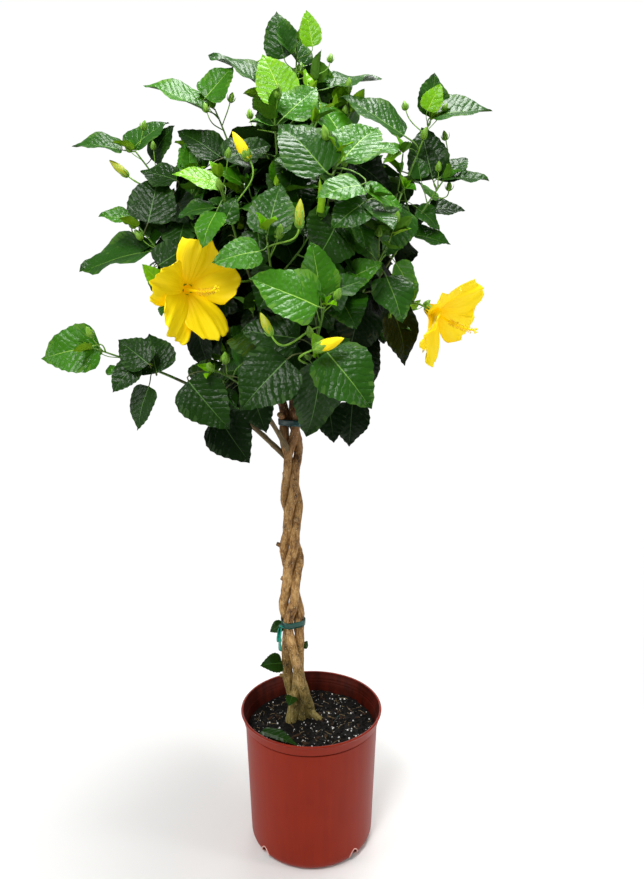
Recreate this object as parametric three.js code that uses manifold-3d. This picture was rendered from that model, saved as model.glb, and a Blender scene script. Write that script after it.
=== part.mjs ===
// A hibiscus grown as a small standard tree: three stems plaited into one trunk,
// a round leafy head with yellow flowers, and the nursery pot that it stands in.
// Millimetres, +Z up.  The origin is the middle of the pot's flat underside.

import * as THREE from 'three';
import { mergeVertices } from 'three/addons/utils/BufferGeometryUtils.js';
import Module from 'manifold-3d';

const wasm = await Module();
wasm.setup();

// ---------------------------------------------------------------- sizes

const GAP = 0.3; // clearance between pieces that touch

// Pot
const POT_HEIGHT = 250;
const POT_RIM_RADIUS = 128;
const POT_FOOT_RADIUS = 112;
const POT_WALL = 2.6;
const POT_CORNER = 19; // radius of the rounded edge under the pot
const POT_CORNER_STEPS = 3;
const POT_SIDES = 32;
const LIP_HEIGHT = 20;
const LIP_FOOT_RADIUS = 122.5;
const LIP_STEP = 2.6; // how far the lip stands out from the wall below it
const LIP_SLANT = 3; // height in which the wall steps out to the lip
const BEAD_HEIGHT = 4;
const BEAD_STEP = 1.6; // how far the bead stands out from the lip
// Ledges inside the lip, from the top down: radius past its inner foot, height above it
const LEDGES = [[1, 5], [-3, -1], [-3.6, -6]];
const DRAIN_COUNT = 4;
const DRAIN_RADIUS = 6.5;
const DRAIN_FIRST_BEARING = 43;
const DRAIN_SLANT = -50; // the drains are punched down and out through the rounded edge
const DRAIN_INSET = 6;
const DRAIN_HEIGHT = 7;
const PUNCH_LENGTH = 60;
const PUNCH_SIDES = 10;
const SOIL_TOP = 215;
const SOIL_ROOM = 0.2;

// Trunk: three stems twisted round each other, tied, and crossing freely below the tie
const GROUND = SOIL_TOP + GAP;
const FORK_HEIGHT = 815;
const TRUNK_FOOT = [-37, 12];
const TRUNK_FORK = [-33, 8];
const PLAIT_PITCH = 302; // height in which one strand goes once round
const PLAIT_WAIST = 658; // height of one of the plait's narrow waists
const PLAIT_END = 775; // above this the strands run straight
const PLAIT_WIDTH = 1.5; // sideways swing, in strand radii
const PLAIT_PINCH = 0.4; // how much the swing changes between crossings
const PLAIT_DEPTH = 1.27; // swing to the front and back, in strand radii
const FORK_START = 690; // from here up the strands turn towards their places at the fork
const FORK_REACH = 85;
const FORK_WIDTH = 1.88;
const FREE_TOP = 407; // below this the strands cross as each one's own points say
const SPLAY_START = 788; // above this the strands part
const SPLAY = 0.022;
const STRAND_RADIUS_FOOT = 10.5;
const STRAND_RADIUS_FORK = 6.7;
const STRAND_SIDES = 8;
const STRAND_STEP = 21;
const FLARE_REACH = 26; // height of the swelling where a strand meets the ground
const FLARE_SWELL = 0.3;
// Each strand's phase in the twist, its top, its places below the tie from the top down,
// and the bearings of its roots
const STRANDS = [
  {
    name: 'back', phase: 0, thickness: 0.97, top: 858, toes: [],
    feet: [[-22, 16], [-27, 9], [-38, 8]],
  },
  {
    name: 'left', phase: 120, thickness: 1, top: 834, toes: [],
    feet: [[-45, 16], [-42, 27], [-20, 20]],
  },
  {
    name: 'front', phase: 240, thickness: 0.94, top: 846, toes: [-30],
    feet: [[-28, -6], [-13, -2], [-1, 25]],
  },
];
const TOE_HEIGHT = 36;
const TOE_SPREAD = 18;
const TOE_RADIUS = 6.2;
const TOE_START_RADIUS = 3;
const TOE_SIDES = 6;
const EARTH_WIDTH = 200; // the block that cuts the strands off at the ground
const EARTH_DEPTH = 100;

// Ties of flat tape round the plait
const TAPE_WIDTH = 10;
const TAPE_THICKNESS = 0.9;
const TAPE_ROOM = GAP + 0.2;
const TAPE_ROOM_LOWER = GAP + 0.9; // the lower band lies over the strands' bend
const BAND_SIDES = 20;
const TIE_LOWER_HEIGHT = 407;
const TIE_UPPER_HEIGHT = 772;
const KNOT_BEARING = -150;
const KNOT_RADIUS = 6;
const KNOT_SQUASH = 0.8;
const KNOT_STAND = 2.6; // the knot's middle stands this far out from the band
const TAIL_WIDTH = 7;
const TAIL_START = 3.6;
const TAIL_STEP = 2.4;
const TAIL_LEAN = 8;
const TAIL_LENGTHS = [46, 30];

// Boughs and the leafy shoots at their tips
const BOUGH_SHARE = 0.46; // part of a limb's run that is bare bough
const BOUGH_SIDES = 5;
const BOUGH_STEPS = 4;
const BOUGH_ROOT_RADIUS = 5.2;
const BOUGH_TIP_RADIUS = 3.0;
const STEM_ROOT_RADIUS = 2.5;
const STEM_TIP_RADIUS = 1.2;
const TWIG_ROOT_RADIUS = 1.7;
const TWIG_TIP_RADIUS = 1.0;
const TWIG_SIDES = 3;
const TWIG_SINK = 1.0;
const STEM_STEPS = 3;
const BARE_SHARE = 0.12; // the first part of a shoot or twig has no leaves
const TIP_LENGTH = 2;
const LEAF_SPACING = 26; // distance between leaves along a shoot
const LEAF_TURN = 144; // each leaf stands this far round the shoot from the last
const SHOOT_LEAVES = 7;
const TWIG_LEAVES = 4;
const TWIG_LEAST = 2; // a twig with fewer leaves than this is left out
const TWIG_NODES = [3, 5, 6]; // the leaves, from the tip down, beside which a twig grows
const TWIG_LENGTH = 88;
const TWIG_SPREAD = 52;
const TWIG_LEAST_LENGTH = 0.8; // a twig's length is this share of TWIG_LENGTH or more
const TWIG_LENGTH_RANGE = 0.4;
const TWIG_TURN = 60; // where round a twig its youngest leaf stands
const TWIG_RISE = 0.6; // how much a twig's tip turns up
const TWIG_BEND_SHARE = 0.3;

// Leaf
const LEAF_LENGTH = 122; // stalk and blade
const LEAF_AGES = [0.5, 0.74, 0.92, 1.0]; // size of the youngest leaves, from the tip down
const LEAF_SPREADS = [24, 40, 54, 64, 72]; // angle to the shoot, from the tip down
const LEAF_OUTLINE = [[0, 0], [0.24, 0.02], [0.44, 0.31], [0.74, 0.25], [1, 0]];
const LEAF_MIDDLE = 0.56;
const LEAF_THICKNESS = 0.018;
const LEAF_CUP = 0.16;
const LEAF_DROOP = 0.1;
const LEAF_LEAST_SIZE = 0.9;
const TWIG_LEAF_LEAST_SIZE = 0.85;
const LEAF_SIZE_RANGE = 0.2;
const LEAF_TURN_RANGE = 24;
const STALK_SAG = 0.09; // how much more each older leaf hangs
const STALK_SAG_AGES = 4;
const LIGHT_PULL = 0.7; // how far a leaf's face turns to the light
// Where a leaf has no room it is tried further round the shoot, then smaller
const LEAF_TRIES = [
  [1, 0], [1, 35], [1, -35], [1, 70], [1, -70], [0.8, 0], [0.8, 50], [0.8, -50],
];

// A mass's room: leaves keep to their own shoot, and clear of wood and of one another
const SPINE_START = 0.3; // share of a limb's run from which its mass is measured
const SPINE_STEPS = 5;
const SPINE_OVERHANG = 60;
const OVERRUN = 22; // how far a leaf's edge may reach past the middle between two shoots
const LIMB_CLEARANCE = 6; // a cupped leaf keeps this far from a limb behind or before it
const LEAF_CLEARANCE = 3;
const TWIG_CLEARANCE = 1;
const EDGE_ROOM = 1;
const SPOT_SPACING = 4;
const EDGE_SPACING = 9;
const WOOD_START = 640; // no leaf comes near a strand below this height
const WOOD_STEP = 8;
const FACET_ROOM = 0.02; // what the flat sides of a swollen limb cut off
const HEAD_RISE = 200; // the middle of the head above the fork

const LIMB_ROOTS = [794, 856]; // heights between which most limbs leave the strands
const ROOT_MARGIN = 4;
const LIMB_START = 46; // how steeply a limb leaves its strand, in degrees
const LIMB_BEND = 0.42; // how far each end's heading is held, as a share of the run

// Every limb of the head: the bearing of its tip (0 is +X, -90 is the front), how far
// out and how high above the fork the tip is, how steeply it climbs there, and its seed
const LIMBS = [
  { name: 'top', bearing: -31, out: 16, up: 556, climb: 86, seed: 11 },
  { name: 'top_front', bearing: -97, out: 129, up: 425, climb: 76, seed: 12 },
  { name: 'top_left', bearing: -166, out: 118, up: 454, climb: 66, seed: 13 },
  { name: 'top_right', bearing: -16, out: 100, up: 448, climb: 62, seed: 14 },
  { name: 'left_upper', bearing: -171, out: 242, up: 390, climb: 52, seed: 15 },
  { name: 'left_middle', bearing: -159, out: 241, up: 268, climb: 50, seed: 16 },
  { name: 'left_low', bearing: -155, out: 318, up: 88, climb: 20, seed: 17, root: 704 },
  { name: 'left_foot', bearing: -120, out: 204, up: 58, climb: 18, seed: 18, root: 722 },
  { name: 'front_left', bearing: -112, out: 224, up: 314, climb: 62, seed: 19 },
  { name: 'front_upper', bearing: -71, out: 219, up: 345, climb: 58, seed: 20 },
  { name: 'front_middle', bearing: -94, out: 268, up: 240, climb: 50, seed: 21 },
  { name: 'front_right', bearing: -53, out: 244, up: 242, climb: 52, seed: 22 },
  { name: 'front_low', bearing: -79, out: 292, up: 146, climb: 42, seed: 23 },
  { name: 'front_foot', bearing: -79, out: 262, up: 78, climb: 24, seed: 24 },
  { name: 'right_upper', bearing: -10, out: 223, up: 434, climb: 70, seed: 25 },
  { name: 'right_middle', bearing: -11, out: 246, up: 345, climb: 56, seed: 26 },
  { name: 'right_low', bearing: -36, out: 186, up: 120, climb: 30, seed: 27 },
  { name: 'back_top', bearing: 88, out: 150, up: 470, climb: 70, seed: 28 },
  { name: 'back_left', bearing: 128, out: 226, up: 356, climb: 56, seed: 29 },
  { name: 'back_right', bearing: 42, out: 232, up: 366, climb: 56, seed: 30 },
  { name: 'back_middle', bearing: 92, out: 276, up: 250, climb: 44, seed: 31 },
  { name: 'back_left_low', bearing: 146, out: 250, up: 140, climb: 34, seed: 32 },
  { name: 'back_right_low', bearing: 28, out: 240, up: 150, climb: 34, seed: 33 },
  { name: 'back_low', bearing: 80, out: 232, up: 84, climb: 24, seed: 34 },
];

// Flowers and the buds near opening.  Each hangs on a stalk that leaves its host's leafy
// shoot part of the way along.  Bearing, out and up place the throat; facing and tilt aim it.
const FLOWERS = [
  {
    name: 'flower_left', host: 'front_left', share: 0.3,
    bearing: -124, out: 234, up: 171, facing: -50, tilt: -8, roll: 18,
  },
  {
    name: 'flower_right', host: 'right_low', share: 0.33,
    bearing: -26, out: 245, up: 140, facing: -42, tilt: -23, roll: 0,
  },
];
const BUDS = [
  {
    name: 'bud_upper', host: 'front_left', share: 0.8,
    bearing: -110, out: 176, up: 368, facing: 170, tilt: 58,
  },
  {
    name: 'bud_front', host: 'front_foot', share: 0.74,
    bearing: -79, out: 322, up: 100, facing: 10, tilt: 20,
  },
];
const STALK_RADIUS = 1.6;
const STALK_SIDES = 5;
const STALK_STEPS = 5;
const STALK_START = 2; // leaves may come this near to where a stalk begins
const PETAL_COUNT = 5;
const PETAL_LENGTH = 70;
const PETAL_OPEN = 62; // angle between a petal and the flower's axis
const PETAL_OUTLINE = [[0, 0.05], [0.32, 0.2], [0.66, 0.41], [0.9, 0.36], [1, 0.12]];
const PETAL_MIDDLE = 0.6;
const PETAL_THICKNESS = 0.022;
const PETAL_CUP = -0.08;
const PETAL_DROOP = 0.22;
const PETAL_SINK = 4; // petals start this far down the throat
const THROAT_LENGTH = 24;
const THROAT_SIDES = 6;
// The throat's funnel: radius and height
const THROAT_PROFILE = [[0, -1], [3.4, -1], [5.2, 8], [5.5, 18], [7.4, 25], [0, 25]];
const COLUMN_LENGTH = 62;
const COLUMN_RADIUS = 2.2;
const COLUMN_SWELL = 1.5; // the stamens thicken the column's tip
const COLUMN_SIDES = 5;
const FLOWER_KEEP_OUT = 70;
const FLOWER_MIDDLE = 22; // the middle of the room that a flower needs, from its throat
const BUD_LENGTH = 40;
const BUD_RADIUS = 7.5;
const BUD_SIDES = 8;
const BUD_ROOM = 2;
// A bud's outline: radius and height, as shares of the two above
const BUD_PROFILE = [[0.4, 0], [0.8, 0.2], [1, 0.5], [0.72, 0.82], [0, 1]];

// One young shoot low on the trunk
const SPROUT_HEIGHT = 322;
const SPROUT_BEARING = -160;
const SPROUT_CLIMB = 28;
const SPROUT_LENGTH = 22;
const SPROUT_LEAF = 44;
const SPROUT_LEAF_SINK = 10;
const SPROUT_FACE_TURN = 1.2; // how far the leaf's face turns to the front

// ---------------------------------------------------------------- colours

const finish = (colour, roughness) => new THREE.MeshStandardMaterial({
  color: colour,
  roughness,
  metalness: 0,
});
const potPlastic = finish('#8e2f1d', 0.42);
const pottingMix = finish('#1d1916', 0.95);
const bark = finish('#a27e50', 0.85);
const tapePlastic = finish('#0f7a68', 0.4);
const foliage = finish('#2f7026', 0.5);
const petalYellow = finish('#f2cd12', 0.55);

// ---------------------------------------------------------------- solids by code

const UP = new THREE.Vector3(0, 0, 1);
const radians = THREE.MathUtils.degToRad;
const mix = THREE.MathUtils.lerp;

function heading(bearing, climb) {
  const level = Math.cos(radians(climb));
  return new THREE.Vector3(
    level * Math.cos(radians(bearing)),
    level * Math.sin(radians(bearing)),
    Math.sin(radians(climb)),
  );
}

function seeded(seed) {
  let state = seed >>> 0;
  return () => {
    state = (state + 0x6d2b79f5) >>> 0;
    let t = Math.imul(state ^ (state >>> 15), state | 1);
    t ^= t + Math.imul(t ^ (t >>> 7), t | 61);
    return ((t ^ (t >>> 14)) >>> 0) / 4294967296;
  };
}

function solid(geometry) {
  const bare = geometry.clone();
  bare.deleteAttribute('normal');
  bare.deleteAttribute('uv');
  const merged = mergeVertices(bare, 1e-5);
  return new wasm.Manifold(new wasm.Mesh({
    numProp: 3,
    vertProperties: new Float32Array(merged.attributes.position.array),
    triVerts: new Uint32Array(merged.index.array),
  }));
}

function biggest(body) {
  const parts = body.decompose();
  return parts.reduce((best, part) => (part.volume() > best.volume() ? part : best));
}

function joined(bodies) {
  return bodies.reduce((whole, body) => whole.add(body));
}

function geometryOf(body) {
  const mesh = body.getMesh();
  const geometry = new THREE.BufferGeometry();
  geometry.setAttribute('position', new THREE.BufferAttribute(mesh.vertProperties, 3));
  geometry.setIndex(new THREE.BufferAttribute(mesh.triVerts, 1));
  geometry.computeVertexNormals();
  return geometry;
}

function faceted(points, faces) {
  const geometry = new THREE.BufferGeometry();
  geometry.setAttribute('position', new THREE.Float32BufferAttribute(
    points.flatMap((point) => point.toArray()),
    3,
  ));
  geometry.setIndex(faces.flat());
  return geometry;
}

// A closed round limb through the points, with a radius at each of them.
function limb(points, radii, sides) {
  const last = points.length - 1;
  const tangent = (i) => points[Math.min(i + 1, last)].clone()
    .sub(points[Math.max(i - 1, 0)]).normalize();
  let across = new THREE.Vector3(0, 1, 0);
  if (Math.abs(tangent(0).dot(across)) > 0.8) across = new THREE.Vector3(1, 0, 0);
  const rings = points.map((point, i) => {
    const along = tangent(i);
    across = across.clone().addScaledVector(along, -across.dot(along)).normalize();
    const upward = along.clone().cross(across);
    return Array.from({ length: sides }, (_, side) => {
      const turn = (2 * Math.PI * side) / sides;
      return point.clone()
        .addScaledVector(across, radii[i] * Math.cos(turn))
        .addScaledVector(upward, radii[i] * Math.sin(turn));
    });
  });
  const faces = [];
  for (let i = 0; i < last; i += 1) {
    for (let side = 0; side < sides; side += 1) {
      const next = (side + 1) % sides;
      const [a, b] = [i * sides + side, i * sides + next];
      const [c, d] = [a + sides, b + sides];
      faces.push([a, b, d], [a, d, c]);
    }
  }
  for (let side = 1; side < sides - 1; side += 1) {
    faces.push([0, side + 1, side]);
    faces.push([last * sides, last * sides + side, last * sides + side + 1]);
  }
  return faceted(rings.flat(), faces);
}

// A thin leaf or petal: an outline that is thickest in the middle, cupped and drooping.
function blade(place, outline, form) {
  const across = place.along.clone().cross(place.face).normalize();
  const at = (side, forward, lift) => place.root.clone()
    .addScaledVector(across, side * place.length)
    .addScaledVector(place.along, forward * place.length)
    .addScaledVector(place.face, lift * place.length);
  const rim = (side, forward) => at(
    side,
    forward,
    form.cup * Math.abs(side) - form.droop * forward * forward,
  );
  const right = outline.map(([forward, side]) => rim(side, forward));
  const left = outline.filter(([, side]) => side > 0)
    .map(([forward, side]) => rim(-side, forward)).reverse();
  const edge = [...right, ...left];
  const dip = -form.droop * form.middle * form.middle;
  const points = [
    ...edge,
    at(0, form.middle, dip + form.thickness / 2),
    at(0, form.middle, dip - form.thickness / 2),
  ];
  const faces = edge.flatMap((_, i) => {
    const next = (i + 1) % edge.length;
    return [[edge.length, i, next], [edge.length + 1, next, i]];
  });
  return { geometry: faceted(points, faces), edge: [...edge, points[edge.length]] };
}

const LEAF_FORM = {
  middle: LEAF_MIDDLE,
  thickness: LEAF_THICKNESS,
  cup: LEAF_CUP,
  droop: LEAF_DROOP,
};
const PETAL_FORM = {
  middle: PETAL_MIDDLE,
  thickness: PETAL_THICKNESS,
  cup: PETAL_CUP,
  droop: PETAL_DROOP,
};

const plant = new THREE.Group();
plant.name = 'plaited_hibiscus_in_a_pot';

function addPiece(name, body, material) {
  const mesh = new THREE.Mesh(geometryOf(body), material);
  mesh.name = name;
  plant.add(mesh);
}

// ---------------------------------------------------------------- pot and potting mix

const lipFoot = POT_HEIGHT - LIP_HEIGHT;
const wallTop = LIP_FOOT_RADIUS - LIP_STEP;

function arc(centre, radius, from, to, steps) {
  return Array.from({ length: steps + 1 }, (_, i) => {
    const turn = radians(mix(from, to, i / steps));
    return new THREE.Vector2(
      centre[0] + radius * Math.cos(turn),
      centre[1] + radius * Math.sin(turn),
    );
  });
}

function potBody() {
  const outside = [
    new THREE.Vector2(0, 0),
    ...arc([POT_FOOT_RADIUS - POT_CORNER, POT_CORNER], POT_CORNER, -90, 0, POT_CORNER_STEPS),
    new THREE.Vector2(wallTop, lipFoot - LIP_SLANT),
    new THREE.Vector2(LIP_FOOT_RADIUS, lipFoot),
    new THREE.Vector2(POT_RIM_RADIUS - BEAD_STEP, POT_HEIGHT - BEAD_HEIGHT),
    new THREE.Vector2(POT_RIM_RADIUS, POT_HEIGHT - BEAD_HEIGHT / 2),
    new THREE.Vector2(POT_RIM_RADIUS - BEAD_STEP, POT_HEIGHT),
  ];
  const inner = POT_CORNER - POT_WALL;
  const inside = [
    new THREE.Vector2(POT_RIM_RADIUS - BEAD_STEP - POT_WALL, POT_HEIGHT),
    ...LEDGES.map(([out, up]) => (
      new THREE.Vector2(LIP_FOOT_RADIUS - POT_WALL + out, lipFoot + up))),
    ...arc([POT_FOOT_RADIUS - POT_CORNER, POT_CORNER], inner, 0, -90, POT_CORNER_STEPS),
    new THREE.Vector2(0, POT_WALL),
  ];
  const shell = solid(new THREE.LatheGeometry([...outside, ...inside], POT_SIDES)
    .rotateX(Math.PI / 2));
  const drill = new THREE.CylinderGeometry(
    DRAIN_RADIUS,
    DRAIN_RADIUS,
    PUNCH_LENGTH,
    PUNCH_SIDES,
  );
  const holes = Array.from({ length: DRAIN_COUNT }, (_, i) => {
    const bearing = DRAIN_FIRST_BEARING + (360 / DRAIN_COUNT) * i;
    const slant = heading(bearing, DRAIN_SLANT);
    const corner = heading(bearing, 0)
      .multiplyScalar(POT_FOOT_RADIUS - DRAIN_INSET)
      .setZ(DRAIN_HEIGHT);
    const place = new THREE.Matrix4().compose(
      corner,
      new THREE.Quaternion().setFromUnitVectors(new THREE.Vector3(0, 1, 0), slant),
      new THREE.Vector3(1, 1, 1),
    );
    return solid(drill.clone().applyMatrix4(place));
  });
  return shell.subtract(joined(holes));
}

function soilBody() {
  const wall = POT_WALL + GAP;
  const inner = POT_CORNER - wall;
  const [out, up] = LEDGES.at(-1);
  const share = (SOIL_TOP - POT_CORNER) / (lipFoot + up - POT_CORNER);
  const topRadius = mix(POT_FOOT_RADIUS, LIP_FOOT_RADIUS + out, share) - wall - SOIL_ROOM;
  const profile = [
    new THREE.Vector2(0, wall),
    ...arc([POT_FOOT_RADIUS - POT_CORNER, POT_CORNER], inner, -90, 0, POT_CORNER_STEPS),
    new THREE.Vector2(topRadius, SOIL_TOP),
    new THREE.Vector2(0, SOIL_TOP),
  ];
  return solid(new THREE.LatheGeometry(profile, POT_SIDES).rotateX(Math.PI / 2));
}

addPiece('pot', potBody(), potPlastic);
addPiece('potting_mix', soilBody(), pottingMix);

// ---------------------------------------------------------------- plaited trunk

function forkShare(height) {
  return (height - SOIL_TOP) / (FORK_HEIGHT - SOIL_TOP);
}

function strandRadius(height) {
  const rest = 1 - Math.min(1, forkShare(height));
  return mix(STRAND_RADIUS_FORK, STRAND_RADIUS_FOOT, rest * rest);
}

function plaitTurn(height) {
  const level = Math.min(height, PLAIT_END);
  return (2 * Math.PI * (level - PLAIT_WAIST)) / PLAIT_PITCH + Math.PI / 6;
}

// Where a strand's middle lies in the twist, and how that eases into the fork
function twistedPoint(strand, height) {
  const turn = plaitTurn(height);
  const own = turn + radians(strand.phase);
  const upper = THREE.MathUtils.smoothstep(height, FORK_START, FORK_START + FORK_REACH);
  const reach = strandRadius(height) * (1 + SPLAY * Math.max(0, height - SPLAY_START));
  const swing = mix(PLAIT_WIDTH + PLAIT_PINCH * Math.cos(3 * turn), FORK_WIDTH, upper);
  const depth = PLAIT_DEPTH * mix(Math.cos(own), Math.sin(2 * own), upper);
  return [
    mix(TRUNK_FOOT[0], TRUNK_FORK[0], forkShare(height)) + reach * swing * Math.sin(own),
    mix(TRUNK_FOOT[1], TRUNK_FORK[1], forkShare(height)) - reach * depth,
  ];
}

function strandPoint(strand, height) {
  if (height >= FREE_TOP) return new THREE.Vector3(...twistedPoint(strand, height), height);
  const step = (FREE_TOP - GROUND) / strand.feet.length;
  const places = [
    twistedPoint(strand, FREE_TOP + step),
    twistedPoint(strand, FREE_TOP),
    ...strand.feet,
  ];
  const [before, last] = places.slice(-2);
  places.push(last.map((value, i) => value + (value - before[i]) / 2));
  const reach = (FREE_TOP - height) / step;
  const first = Math.min(strand.feet.length - 1, Math.floor(reach));
  const t = reach - first;
  const [p0, p1, p2, p3] = places.slice(first, first + 4);
  const [x, y] = [0, 1].map((i) => 0.5 * (2 * p1[i] + (p2[i] - p0[i]) * t
    + (2 * p0[i] - 5 * p1[i] + 4 * p2[i] - p3[i]) * t * t
    + (3 * p1[i] - p0[i] - 3 * p2[i] + p3[i]) * t * t * t));
  return new THREE.Vector3(x, y, height);
}

function strandThickness(strand, height) {
  const flare = 1 + FLARE_SWELL * Math.exp(-Math.abs(height - GROUND) / FLARE_REACH);
  return strandRadius(height) * strand.thickness * flare;
}

function strandLine(strand, from, to, step) {
  const count = Math.ceil((to - from) / step);
  return Array.from({ length: count + 1 }, (_, i) => strandPoint(
    strand,
    mix(from, to, i / count),
  ));
}

// The strand starts below the ground and is cut off flat there with its toes.
function strandBody(strand) {
  const line = strandLine(strand, GROUND - STRAND_STEP, strand.top, STRAND_STEP);
  const radii = line.map((point) => strandThickness(strand, point.z));
  const stem = solid(limb(line, radii, STRAND_SIDES));
  const toes = strand.toes.map((bearing) => {
    const start = strandPoint(strand, GROUND + TOE_HEIGHT);
    const foot = strandPoint(strand, GROUND);
    const low = foot.clone().addScaledVector(heading(bearing, 0), TOE_SPREAD);
    const under = low.clone().lerp(start, -0.5);
    return solid(limb([start, low, under], [TOE_START_RADIUS, TOE_RADIUS, TOE_RADIUS], TOE_SIDES));
  });
  const earth = solid(new THREE.BoxGeometry(EARTH_WIDTH, EARTH_WIDTH, EARTH_DEPTH)
    .translate(0, 0, GROUND - EARTH_DEPTH / 2));
  return joined([stem, ...toes]).subtract(earth);
}

// A limb's own shape swollen by the gap, to cut what grows out of it or passes by it
function swollen(points, radii, sides) {
  const room = GAP / Math.cos(Math.PI / sides) + FACET_ROOM;
  const end = points.at(-1).clone().sub(points.at(-2)).setLength(GAP);
  const longer = [...points, points.at(-1).clone().add(end)];
  return solid(limb(longer, [...radii, radii.at(-1)].map((radius) => radius + room), sides));
}

const cutters = [];
for (const strand of STRANDS) {
  const body = cutters.reduce((left, other) => left.subtract(other), strandBody(strand));
  const line = strandLine(strand, GROUND - STRAND_STEP, strand.top, STRAND_STEP);
  const radii = line.map((point) => strandThickness(strand, point.z));
  cutters.push(swollen(line, radii, STRAND_SIDES));
  addPiece(`strand_${strand.name}`, biggest(body), bark);
}

// ---------------------------------------------------------------- ties

// The tape lies round the strands like a taut band: in each direction it stands as far
// out as the furthest strand does.
function bandOutline(height, room) {
  const spots = STRANDS.flatMap((strand) => [-1, -0.5, 0, 0.5, 1].map((share) => {
    const level = height + (share * TAPE_WIDTH) / 2;
    return { at: strandPoint(strand, level), radius: strandThickness(strand, level) };
  }));
  const furthest = (turn) => Math.max(...spots.map(({ at, radius }) => (
    at.x * Math.cos(turn) + at.y * Math.sin(turn) + radius)));
  return Array.from({ length: BAND_SIDES }, (_, i) => {
    const a = (2 * Math.PI * i) / BAND_SIDES;
    const b = (2 * Math.PI * (i + 1)) / BAND_SIDES;
    const [p, q] = [furthest(a) + room, furthest(b) + room];
    const scale = Math.sin(b - a);
    return new THREE.Vector2(
      (p * Math.sin(b) - q * Math.sin(a)) / scale,
      (q * Math.cos(a) - p * Math.cos(b)) / scale,
    );
  });
}

function bandBody(height, room) {
  const shape = new THREE.Shape(bandOutline(height, room + TAPE_THICKNESS));
  shape.holes.push(new THREE.Path(bandOutline(height, room)));
  return solid(new THREE.ExtrudeGeometry(shape, {
    depth: TAPE_WIDTH,
    bevelEnabled: false,
  }).translate(0, 0, height - TAPE_WIDTH / 2));
}

// The knot sits on the band, and its two loose ends hang down beside the trunk.
function knotBody(height) {
  const outline = bandOutline(height, TAPE_ROOM_LOWER + TAPE_THICKNESS);
  const out = heading(KNOT_BEARING, 0);
  const seat = outline.reduce((best, point) => (
    point.x * out.x + point.y * out.y > best.x * out.x + best.y * out.y ? point : best));
  const knot = solid(new THREE.SphereGeometry(KNOT_RADIUS, 7, 5)
    .scale(KNOT_SQUASH, KNOT_SQUASH, 1)
    .translate(seat.x + out.x * KNOT_STAND, seat.y + out.y * KNOT_STAND, height));
  const tails = TAIL_LENGTHS.map((length, i) => solid(
    new THREE.BoxGeometry(TAPE_THICKNESS, TAIL_WIDTH, length)
      .translate(TAIL_START + i * TAIL_STEP, i * 2 - 1, -length / 2)
      .rotateX(radians(TAIL_LEAN - 2 * TAIL_LEAN * i))
      .rotateZ(radians(KNOT_BEARING))
      .translate(seat.x, seat.y, height),
  ));
  return joined([knot, ...tails]);
}

addPiece(
  'tie_lower',
  bandBody(TIE_LOWER_HEIGHT, TAPE_ROOM_LOWER).add(knotBody(TIE_LOWER_HEIGHT)),
  tapePlastic,
);
addPiece('tie_upper', bandBody(TIE_UPPER_HEIGHT, TAPE_ROOM), tapePlastic);

// ---------------------------------------------------------------- limbs of the head

const fork = new THREE.Vector3(TRUNK_FORK[0], TRUNK_FORK[1], FORK_HEIGHT);

function fromFork(bearing, out, up) {
  return heading(bearing, 0).multiplyScalar(out).add(fork).add(new THREE.Vector3(0, 0, up));
}

function turnBetween(a, b) {
  return Math.abs(((a - b + 540) % 360) - 180);
}

// A limb leaves the strand whose top lies nearest to its own bearing.  Lower limbs leave
// lower down, and each strand's limbs are spread evenly over the height they share.
function strandFor(spec) {
  const bearingOf = (strand) => {
    const top = strandPoint(strand, strand.top).sub(fork);
    return THREE.MathUtils.radToDeg(Math.atan2(top.y, top.x));
  };
  return STRANDS.reduce((best, strand) => (
    turnBetween(bearingOf(strand), spec.bearing) < turnBetween(bearingOf(best), spec.bearing)
      ? strand : best));
}

const byStrand = new Map(STRANDS.map((strand) => [strand.name, []]));
for (const spec of LIMBS) {
  byStrand.get(strandFor(spec).name).push(spec);
}

function rootOf(spec) {
  const strand = strandFor(spec);
  const mates = byStrand.get(strand.name)
    .filter((mate) => mate.root === undefined)
    .sort((a, b) => a.up - b.up);
  const share = (mates.indexOf(spec) + 0.5) / mates.length;
  const [low, high] = LIMB_ROOTS;
  const height = spec.root ?? mix(low, Math.min(high, strand.top - ROOT_MARGIN), share);
  return strandPoint(strand, height);
}

function run(start, leave, end, arrive) {
  const hold = LIMB_BEND * start.distanceTo(end);
  return new THREE.CubicBezierCurve3(
    start,
    start.clone().addScaledVector(leave, hold),
    end.clone().addScaledVector(arrive, -hold),
    end,
  );
}

function pathPoints(path, from, to, steps) {
  return Array.from({ length: steps + 1 }, (_, i) => path.getPoint(mix(from, to, i / steps)));
}

// The bough is the first part of a limb's run.  The leafy shoot's stem follows it after
// a small gap.
const limbs = LIMBS.map((spec) => {
  const start = rootOf(spec);
  const end = fromFork(spec.bearing, spec.out, spec.up);
  const level = end.clone().sub(start);
  const bearing = THREE.MathUtils.radToDeg(Math.atan2(level.y, level.x));
  const steep = Math.max(LIMB_START, THREE.MathUtils.radToDeg(Math.atan2(
    level.z,
    Math.hypot(level.x, level.y),
  )));
  const path = run(start, heading(bearing, steep), end, heading(spec.bearing, spec.climb));
  const bough = pathPoints(path, 0, BOUGH_SHARE, BOUGH_STEPS);
  const stem = pathPoints(path, BOUGH_SHARE, 1, STEM_STEPS);
  stem[0].addScaledVector(path.getTangent(BOUGH_SHARE), GAP);
  return {
    name: spec.name,
    seed: spec.seed,
    path,
    bough,
    boughRadii: bough.map((_, i) => mix(BOUGH_ROOT_RADIUS, BOUGH_TIP_RADIUS, i / BOUGH_STEPS)),
    stem,
    stemRadii: stem.map((_, i) => mix(STEM_ROOT_RADIUS, STEM_TIP_RADIUS, i / STEM_STEPS)),
  };
});

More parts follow.
